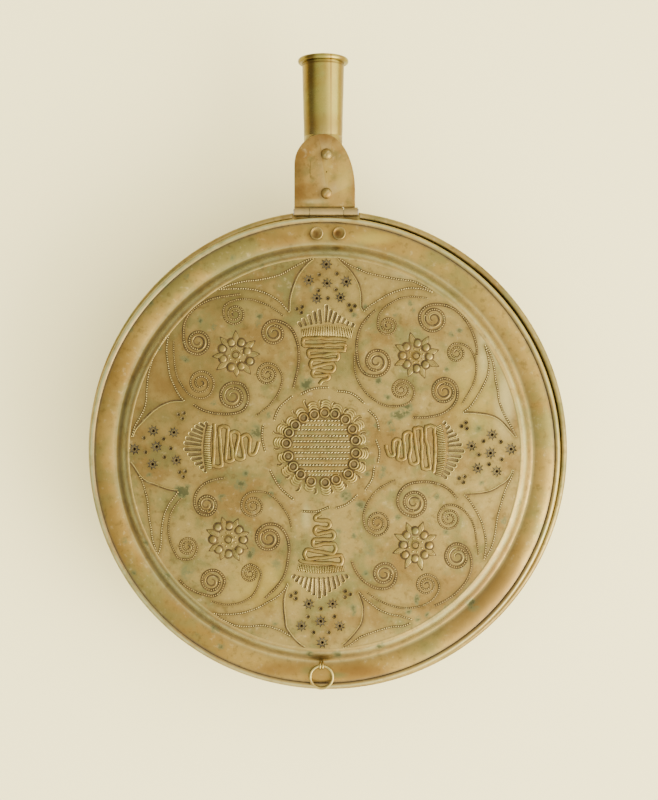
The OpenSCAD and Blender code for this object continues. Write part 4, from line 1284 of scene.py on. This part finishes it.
def relief_piece(piece, finish):
    drape(piece)
    return fit(piece, "lid", "lid_brass", finish=finish, smooth=50)


def aside(line, gap):
    """A line moved sideways by gap, to the left of the way it runs."""
    line = np.asarray(line, float)
    way = np.gradient(line, axis=0)
    way /= np.hypot(way[:, 0], way[:, 1])[:, None]
    return line + gap * np.column_stack([-way[:, 1], way[:, 0]])


def beads_along(lines, long, lean=0.0, thin_end=1.0):
    """Spots for beads on evenly stepped lines, each bead long for its width and leaning a
    little to the line, and smaller towards the line's end."""
    spots = []
    for line in lines:
        way = np.gradient(np.asarray(line, float), axis=0)
        for i, ((x, y), (dx, dy)) in enumerate(zip(line, way)):
            size = 1 + (thin_end - 1) * (i / (len(line) - 1)) ** 2
            spots.append((x, y, math.atan2(dy, dx) + lean, size, long))
    return spots


def stepped(lines, step):
    return [smooth_line(line, step) for line in lines]


# Turns that each scroll is wound, and how near its middle it begins
SCROLL_TURNS = 2.25
SCROLL_EYE_R = 1.1


def winding(centre, tail, first, last):
    """Places on a scroll, from first to last, in turns counted back from where its tail leaves."""
    end_r = math.dist(centre, tail[0])
    end_turn = math.atan2(tail[0][1] - centre[1], tail[0][0] - centre[0])
    count = max(int(abs(first - last) * 14), 2)
    places = []
    for i in range(count + 1):
        back = first + (last - first) * i / count
        r = end_r - (end_r - SCROLL_EYE_R) * (back / SCROLL_TURNS) ** 0.95
        turn = end_turn + math.tau * back
        places.append((centre[0] + r * math.cos(turn), centre[1] + r * math.sin(turn)))
    return places


def build_scrolls(kind, roped_turns, bed, bead, high, pitch, ridge):
    """The scrolls of one kind: beaded outer turns and tails, and plain ridges further in."""
    chosen = [(centre, tail) for style, centre, tail in SCROLLS if style == kind]
    roped = [winding(centre, tail, roped_turns, 0)[:-1] + tail for centre, tail in chosen]
    plain = stepped([winding(centre, tail, SCROLL_TURNS, roped_turns) for centre, tail in chosen], 0.6)
    lay_lines(kind + "_scroll_grooves", stepped(roped, 1.2), bed, 0.10, line_brass,
        taper=lambda t: 1.0 if t < 0.5 else 1.25 - 0.5 * t)
    stamp(kind + "_scroll_beads", bead_shape(bead, high, 8, 4),
        beads_along(stepped(roped, pitch), 1.25, 0.5, 0.88), ridge_brass)
    lay_lines(kind + "_inner_grooves", plain, 1.15, 0.10, line_brass,
        taper=lambda t: 0.5 + 0.5 * min(1, 3 * t))
    lay_lines(kind + "_inner_ridges", [aside(line, 0.42 + ridge / 2) for line in plain],
        ridge, 0.27, scroll_brass, 2, lambda t: 0.6 + 0.4 * min(1, 3 * t))


def beside(line, gap, key):
    """The line moved sideways by gap, towards the lobe that it edges."""
    lobe = {"top": (0, 100), "left": (-100, 0), "right": (100, 0), "bottom": (0, -100)}
    near = [lobe[name] for name in lobe if name in key]
    middle = line[len(line) // 2]
    target = min(near, key=lambda place: math.dist(place, middle))
    moved = aside(line, gap), aside(line, -gap)
    return min(moved, key=lambda way: math.dist(way[len(line) // 2], target))


def build_spandrel_lines():
    """Beaded lines round each panel, and a smooth ridge along each lobe's edge."""
    lines = [line for group in SPANDREL_LINES.values() for line in group[1:]]
    lay_lines("panel_line_grooves", stepped(lines, 1.4), 1.45, 0.09, line_brass)
    stamp("panel_line_beads", bead_shape(0.78, 0.30, 8, 4),
        beads_along(stepped(lines, 1.5), 1.5, 0.5), rubbed_brass)
    edges = [group[0] for group in SPANDREL_LINES.values()]
    lay_lines("lobe_edge_grooves", stepped(edges, 1.2), 0.85, 0.09, line_brass)
    ridges = [beside(group[0], 0.85, key) for key, group in SPANDREL_LINES.items()]
    lay_lines("lobe_edge_ridges", stepped(ridges, 1.2), 0.7, 0.30, rubbed_brass)


def stamp_rings(name, places, radius, wide, sides, lift):
    """A thin raised lip round each place."""
    clear_selection()
    bpy.ops.mesh.primitive_torus_add(major_segments=sides, minor_segments=6,
        major_radius=radius * MM, minor_radius=wide / 2 * MM)
    stamp(name, named("ring"), [(x, y, 0.0, 1.0, 1.0, lift) for x, y in places], ridge_brass)


def build_hole_lips():
    stamp_rings("star_rings", STARS, 1.42, 0.36, 20, -0.28)
    stamp_rings("hole_lips", PLAIN_HOLES + in_threes(), 1.45, 0.34, 16, 0.0)
    outline = star_outline(4.2, 2.4)
    lines = []
    for x, y, turn, size in star_turns():
        c, s = size * math.cos(turn), size * math.sin(turn)
        lines.append([(x + c * px - s * py, y + s * px + c * py)
            for px, py in outline + outline[:1]])
    lay_lines("star_edges", lines, 0.36, 0.20, ridge_brass)


def build_flute_lips():
    """The raised edge round each flute of a fan, 1.16 times as wide as the flute."""
    lines = []
    for key in FANS:
        for tip, foot, wide, narrow in flute_sizes(key):
            long = math.dist(tip, foot)
            c, s = (np.array(tip) - foot) / long
            shape = [(narrow / 2, -narrow / 2)]
            shape += [(long - wide / 2 + wide / 2 * math.cos(a), wide / 2 * math.sin(a))
                for a in np.radians(np.arange(-90, 91, 22.5))]
            shape += [(narrow / 2, narrow / 2)]
            lines.append([(foot[0] + c * run - s * across * 1.16,
                foot[1] + s * run + c * across * 1.16) for run, across in shape])
    lay_lines("flute_lips", lines, 0.66, 0.40, rubbed_brass, 2)


def along_three(points, t):
    """A place on the curve that runs through three points, t from 0 to 1."""
    a, b, c = (np.array(p, float) for p in points)
    middle = 2 * b - (a + c) / 2
    return (1 - t) ** 2 * a + 2 * t * (1 - t) * middle + t * t * c


def build_rib_bands():
    """A band of fine ribs under each fan, on a dark bed."""
    layouts, beds = [], []
    for inner, outer, count in RIB_BANDS.values():
        pitch = math.dist(along_three(outer, 0), along_three(outer, 1)) / count
        for i in range(count):
            t = (i + 0.5) / count
            near, far = along_three(inner, t), along_three(outer, t)
            layouts.append(long_lobe(far, near, 0.68 * pitch, 0.68 * pitch, 0.6))
        beds.append([along_three(inner, t) / 2 + along_three(outer, t) / 2
            for t in np.linspace(0.0, 1.0, 16)])
    lay_lines("rib_beds", beds, 4.8, 0.10, line_brass)
    relief_piece(gathered("rib_bands", lying_ball(8), layouts), rubbed_brass)


def build_folded_cords():
    """The wavering cord that runs back and forth inward from each fan."""
    lines = stepped(FOLDED_CORDS.values(), 0.8)
    for line in lines:
        for place in line:
            place += [0.6 * waves(*place, 0.22, seed) for seed in (0.0, 9.0)]
    lay_lines("folded_cord_grooves", lines, 2.9, 0.10, line_brass)
    lay_lines("folded_cords", lines, 2.3, 0.65, cord_brass, 3)


# ---- The medallion in the middle of the field -----------------------------------------------

def outward(x, y):
    """The way from the medallion's middle to a place, in radians."""
    return math.atan2(y - MEDALLION[1], x - MEDALLION[0])


def arc_line(centre, radius, middle, spread):
    """Ten places on an arc about a centre: middle and spread in radians."""
    return [(centre[0] + radius * math.cos(middle + spread * (2 * i / 9 - 1)),
        centre[1] + radius * math.sin(middle + spread * (2 * i / 9 - 1))) for i in range(10)]


def build_petals():
    """Two or three petals nested behind each cup, with a groove outside each."""
    petals, grooves = [], []
    for i, (x, y) in enumerate(CUPS):
        way = outward(x, y)
        for step in range(1, 4 if i % 3 else 3):
            place = (x + 1.5 * step * math.cos(way), y + 1.5 * step * math.sin(way))
            petals.append(arc_line(place, 3.05, way, 1.35 - 0.12 * step))
            grooves.append(arc_line(place, 3.72, way, 1.25 - 0.12 * step))
    lay_lines("petal_grooves", grooves, 0.5, 0.16, line_brass)
    lay_lines("medallion_petals", petals, 1.4, 0.42, ridge_brass, 2)


def build_cups():
    """The ring of little round cups, each with a shaded foot and a hollow middle."""
    ring = spun("cup", [(3.35, -0.25), (3.3, 0.40), (2.95, 0.86), (2.5, 0.94), (2.15, 0.66),
        (1.95, 0.05), (1.9, -0.25)], 20)
    stamp("medallion_cups", ring, CUPS, scroll_brass)
    stamp("cup_hollows", bead_shape(4.0, 0.14, 14, 4), CUPS, flute_brass)
    shade = turned("cup_shade", [(3.4, 0.10), (3.95, 0.06), (3.95, -0.3)], 20)
    stamp("cup_shades", shade, CUPS, line_brass)


def hook_line(turn, grow, gap):
    """A hook that curls out between two cups, moved sideways by gap."""
    c, s = math.cos(turn), math.sin(turn)
    return [(MEDALLION[0] + r * c + (bend + gap) * s, MEDALLION[1] + r * s - (bend + gap) * c)
        for r, bend in ((25.8, 0.5), (26.8, 0.1), (27.8 * grow, 0.0), (28.9 * grow, 0.3),
            (29.3 * grow, 1.0))]


def build_hooks():
    """A small hook between each two cups, every fourth a little longer, with its shadow line."""
    ways = [outward(x, y) for x, y in CUPS]
    hooks, shadows = [], []
    for i, (way, following) in enumerate(zip(ways, ways[1:] + ways[:1])):
        turn = way - ((way - following) % math.tau) / 2
        grow = 1.0 if i % 4 else 1.07
        hooks.append(hook_line(turn, grow, 0.0))
        shadows.append(hook_line(turn, grow, 0.95))
    lay_lines("hook_shadows", stepped(shadows, 0.8), 0.8, 0.12, line_brass)
    lay_lines("medallion_hooks", stepped(hooks, 0.8), 1.0, 0.5, ridge_brass, 2,
        lambda t: 0.5 + 0.75 * t)


def row_ends(y):
    """Where a row across the medallion meets its ring of cups, or None where it's too short."""
    crossings = []
    for (x1, y1), (x2, y2) in zip(CUPS, CUPS[1:] + CUPS[:1]):
        if (y1 - y) * (y2 - y) <= 0 and y1 != y2:
            crossings.append(x1 + (x2 - x1) * (y - y1) / (y2 - y1))
    if len(crossings) < 2 or max(crossings) - min(crossings) < 11:
        return None
    return min(crossings) + 3.7, max(crossings) - 3.7


def straight_row(left, right, y):
    return [(left, y), (left / 2 + right / 2, y), (right, y)]


def build_rope_rows():
    """Twisted rows across the medallion, each in its groove, with soft swells between them."""
    twists, rows, swells = [], [], []
    for y in ROPE_ROWS_Y:
        ends = row_ends(y)
        if ends:
            left, right = ends
            count = max(int((right - left) / 2.15), 2)
            twists += [(left + 1.0 + (right - left - 2.0) * i / count, y, 0.36, 1.0, 2.5)
                for i in range(count + 1)]
            rows.append(straight_row(left, right, y))
    for above, below in zip(rows, rows[1:]):
        swells.append(straight_row(max(above[0][0], below[0][0]), min(above[2][0], below[2][0]),
            (above[0][1] + below[0][1]) / 2))
    lay_lines("rope_row_grooves", stepped(rows, 1.5), 1.7, 0.09, line_brass)
    stamp("rope_rows", bead_shape(0.88, 0.5, 8, 4), twists, bright_brass)
    lay_lines("rope_row_swells", stepped(swells, 1.5), 1.9, 0.26, scroll_brass, 2)


def build_scallops():
    """The ring of short beaded arcs round the medallion."""
    lines = stepped(SCALLOPS, 1.45)
    lay_lines("scallop_grooves", lines, 1.7, 0.09, line_brass)
    stamp("scallop_beads", bead_shape(0.95, 0.36, 8, 4), beads_along(lines, 1.2, 0.4),
        rubbed_brass)


# ---- The four rosettes ----------------------------------------------------------------------

LEAF_FOOT_R = 5.6       # where a leaf begins, from its rosette's middle
SEED_R = 4.4


def leaf_layout(middle, turn, far):
    """A pointed leaf: a round lobe drawn out to its tip."""
    c, s = math.cos(turn), math.sin(turn)

    def layout(places):
        along = places[:, 0]
        run = LEAF_FOOT_R + (along + 1) / 2 * (far - LEAF_FOOT_R)
        across = places[:, 1] * 1.95 * (1 - 0.5 * np.clip(along, 0, 1) ** 1.3)
        places[:, 0] = middle[0] + c * run - s * across
        places[:, 1] = middle[1] + s * run + c * across
        return places

    return layout


def leaf_lines(middle, turn, far):
    """A leaf's middle vein and the two beside it."""
    c, s = math.cos(turn), math.sin(turn)
    long = far - LEAF_FOOT_R
    stations = ((LEAF_FOOT_R + 2.2, 0.5), (LEAF_FOOT_R + long * 0.55, 1.1),
        (LEAF_FOOT_R + long * 0.78, 0.75), (far - 0.5, 0.1))
    return [[(middle[0] + c * r - s * bend * w, middle[1] + s * r + c * bend * w)
        for r, w in stations] for bend in (-1.0, 0.0, 1.0)]


def build_rosette_leaves(leaves):
    """The pointed leaves, each with a dark edge and three veins."""
    shade = turned("shade", [(0.8, 0.10), (1.24, 0.07), (1.24, -0.3)], 20)
    leaf = turned("leaf", [(0.3, 0.55), (0.7, 0.44), (0.98, 0.14), (0.98, -0.3)], 20)
    layouts = [leaf_layout(*leaf_place) for leaf_place in leaves]
    relief_piece(gathered("leaf_shades", shade, layouts), line_brass)
    relief_piece(gathered("rosette_leaves", leaf, layouts), boss_brass)
    veins = [vein for leaf_place in leaves for vein in leaf_lines(*leaf_place)]
    lay_lines("leaf_veins", stepped(veins, 0.9), 0.5, 0.74, ridge_brass)


def build_rosette_bosses(centres, bosses, seeds):
    """The raised ground with its ring of round bosses, and small seeds between them."""
    ground = turned("ground", [(5.9, 0.30), (6.6, 0.26), (6.9, -0.3)], 24)
    stamp("rosette_grounds", ground, centres, scroll_brass)
    ring = turned("ring", [(2.6, 0.52), (3.2, 0.36), (3.25, -0.3)], 16)
    stamp("boss_grooves", ring, bosses, line_brass)
    boss = turned("boss", [(0.7, 1.15), (1.35, 1.05), (1.95, 0.82), (2.35, 0.42), (2.42, -0.2)], 16)
    stamp("rosette_bosses", boss, bosses, boss_brass)
    stamp("rosette_seeds", bead_shape(1.5, 0.75, 10, 5), seeds, ridge_brass)


def build_rosette_middles(centres):
    """A low boss in each middle, with a swirl cut into it."""
    boss = turned("middle_boss", [(1.0, 1.0), (1.9, 0.9), (2.6, 0.62), (3.0, 0.3), (3.1, -0.2)], 24)
    stamp("rosette_centres", boss, centres, boss_brass)
    swirls = stepped([winding((x, y), [(x + 2.3, y + 0.5)], 1.4, 0) for x, y in centres], 0.5)
    lay_lines("centre_swirls", swirls, 0.9, 1.2, line_brass)
    lay_lines("centre_lights", [aside(swirl, 0.65) for swirl in swirls], 0.35, 1.26, ridge_brass)


def build_rosettes():
    bosses, leaves, centres, seeds = [], [], [], []
    for middle, own_bosses, tips in ROSETTES:
        centres.append(middle)
        bosses += own_bosses
        for x, y in tips:
            turn = math.atan2(y - middle[1], x - middle[0])
            leaves.append((middle, turn, math.dist((x, y), middle) + 0.4))
            seeds.append((middle[0] + SEED_R * math.cos(turn), middle[1] + SEED_R * math.sin(turn),
                turn, 1.0, 1.3))
    build_rosette_leaves(leaves)
    build_rosette_bosses(centres, bosses, seeds)
    build_rosette_middles(centres)


# Each kind of scroll: its beaded turns, the width of its groove, its beads' width, height and
# pitch, and the width of its inner ridge
build_scrolls("bold", 1.0, 2.2, 0.9, 0.36, 1.45, 1.0)
build_scrolls("fine", 1.9, 1.5, 0.8, 0.32, 1.35, 0.7)
build_spandrel_lines()
build_hole_lips()
build_flute_lips()
build_rib_bands()
build_folded_cords()
build_petals()
build_cups()
build_hooks()
build_rope_rows()
build_scallops()
build_rosettes()


# ---- Parts carried over from the source, with their finishes --------------------------------

NODE_FINISHES = {
    "pan_rim_wire": wire_iron, "pan_bracket": bracket_iron,
    "bracket_rivet_upper_left": bracket_iron, "bracket_rivet_upper_right": bracket_iron,
    "bracket_rivet_lower_left": bracket_iron, "bracket_rivet_lower_right": bracket_iron,
    "handle_socket": socket_brass, "hinge_pin": wire_iron, "lid_rim_wire": wire_iron,
    "hinge_leaf": hinge_brass,
    "ring_staple": wire_brass, "lift_ring": wire_brass,
}
for node_name, finish in NODE_FINISHES.items():
    only_finish(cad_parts[node_name], finish)


# ---- Floor, light and camera, in metres -----------------------------------------------------

FLOOR_SIZE, FLOOR_Z = 6, -0.0004        # just below the base, so that the two never touch
ROOM_GLOW = (1.0, 0.96, 0.84, 1.0)
BRIGHT_WAY = (0.88, -0.42, 0.22)        # towards the room's bright side
# The room grows brighter that way, from low to high and from dim to bright, in two parts
ROOM_PARTS = ((-1.0, 0.5, 0.95, 2.88), (0.35, 1.0, 0.0, 4.0))
WINDOW_PLACE = (1.7, -1.0, 1.25)
WINDOW_GLOW = (1.0, 0.96, 0.86)
WINDOW_SIZE, WINDOW_POWER = 1.3, 60
CAMERA_PLACE = (0.00076, 0.03175, 0.94)
LENS_MM, SENSOR_MM = 61.65, 36


def floor_paper():
    """Pale, dull paper with a faint grain."""
    f = Finish("floor_paper")
    colour = eye_colour(254, 243, 184)
    shaded = tuple(c * 0.97 for c in colour[:3]) + (1.0,)
    tone = f.clouds(3, 2.0, 0.5)
    f.give(f.shader, "Base Color",
        f.laid_over(f.between(tone, 0.3, 0.7, 0.0, 0.5), colour, shaded))
    f.shader.inputs["Roughness"].default_value = 0.9
    f.shader.inputs["Specular IOR Level"].default_value = 0.2
    f.give(f.shader, "Normal", f.relief(f.clouds(600, 2.0, 0.5), 0.03))
    return f.surface


def lay_floor():
    clear_selection()
    bpy.ops.mesh.primitive_plane_add(size=FLOOR_SIZE, location=(0, 0, FLOOR_Z))
    bpy.ops.object.transform_apply(location=True, rotation=True, scale=True)
    floor = named("floor")
    floor.data.materials.append(floor_paper())


def light_room():
    """A pale room, darker low on the left and brighter towards the window on the right."""
    room = bpy.data.worlds.new("room")
    bpy.context.scene.world = room
    room.use_nodes = True
    tree = room.node_tree
    glow = tree.nodes["Background"]
    glow.inputs["Color"].default_value = ROOM_GLOW
    way = tree.nodes.new("ShaderNodeTexCoord")
    towards = tree.nodes.new("ShaderNodeVectorMath")
    towards.operation = "DOT_PRODUCT"
    towards.inputs[1].default_value = BRIGHT_WAY
    tree.links.new(way.outputs["Generated"], towards.inputs[0])
    whole = tree.nodes.new("ShaderNodeMath")
    whole.operation = "ADD"
    for place, ends in enumerate(ROOM_PARTS):
        part = tree.nodes.new("ShaderNodeMapRange")
        part.interpolation_type = "SMOOTHSTEP"
        for socket, value in zip(("From Min", "From Max", "To Min", "To Max"), ends):
            part.inputs[socket].default_value = value
        tree.links.new(towards.outputs["Value"], part.inputs["Value"])
        tree.links.new(part.outputs["Result"], whole.inputs[place])
    tree.links.new(whole.outputs["Value"], glow.inputs["Strength"])


def light_window():
    """One soft square light, as from a window, aimed at the pan."""
    lamp = bpy.data.lights.new("window_light", "AREA")
    lamp.shape = "SQUARE"
    lamp.size = WINDOW_SIZE
    lamp.energy = WINDOW_POWER
    lamp.color = WINDOW_GLOW
    holder = bpy.data.objects.new("window_light", lamp)
    bpy.context.scene.collection.objects.link(holder)
    holder.location = WINDOW_PLACE
    holder.rotation_euler = (-Vector(WINDOW_PLACE)).to_track_quat("-Z", "Y").to_euler()


def set_camera():
    """A camera straight above the pan, looking down as in the photo."""
    lens = bpy.data.cameras.new("camera")
    lens.sensor_fit = "VERTICAL"
    lens.sensor_height = SENSOR_MM
    lens.lens = LENS_MM
    lens.clip_start = 0.05
    camera = bpy.data.objects.new("camera", lens)
    bpy.context.scene.collection.objects.link(camera)
    camera.location = CAMERA_PLACE
    bpy.context.scene.camera = camera


lay_floor()
light_room()
light_window()
set_camera()
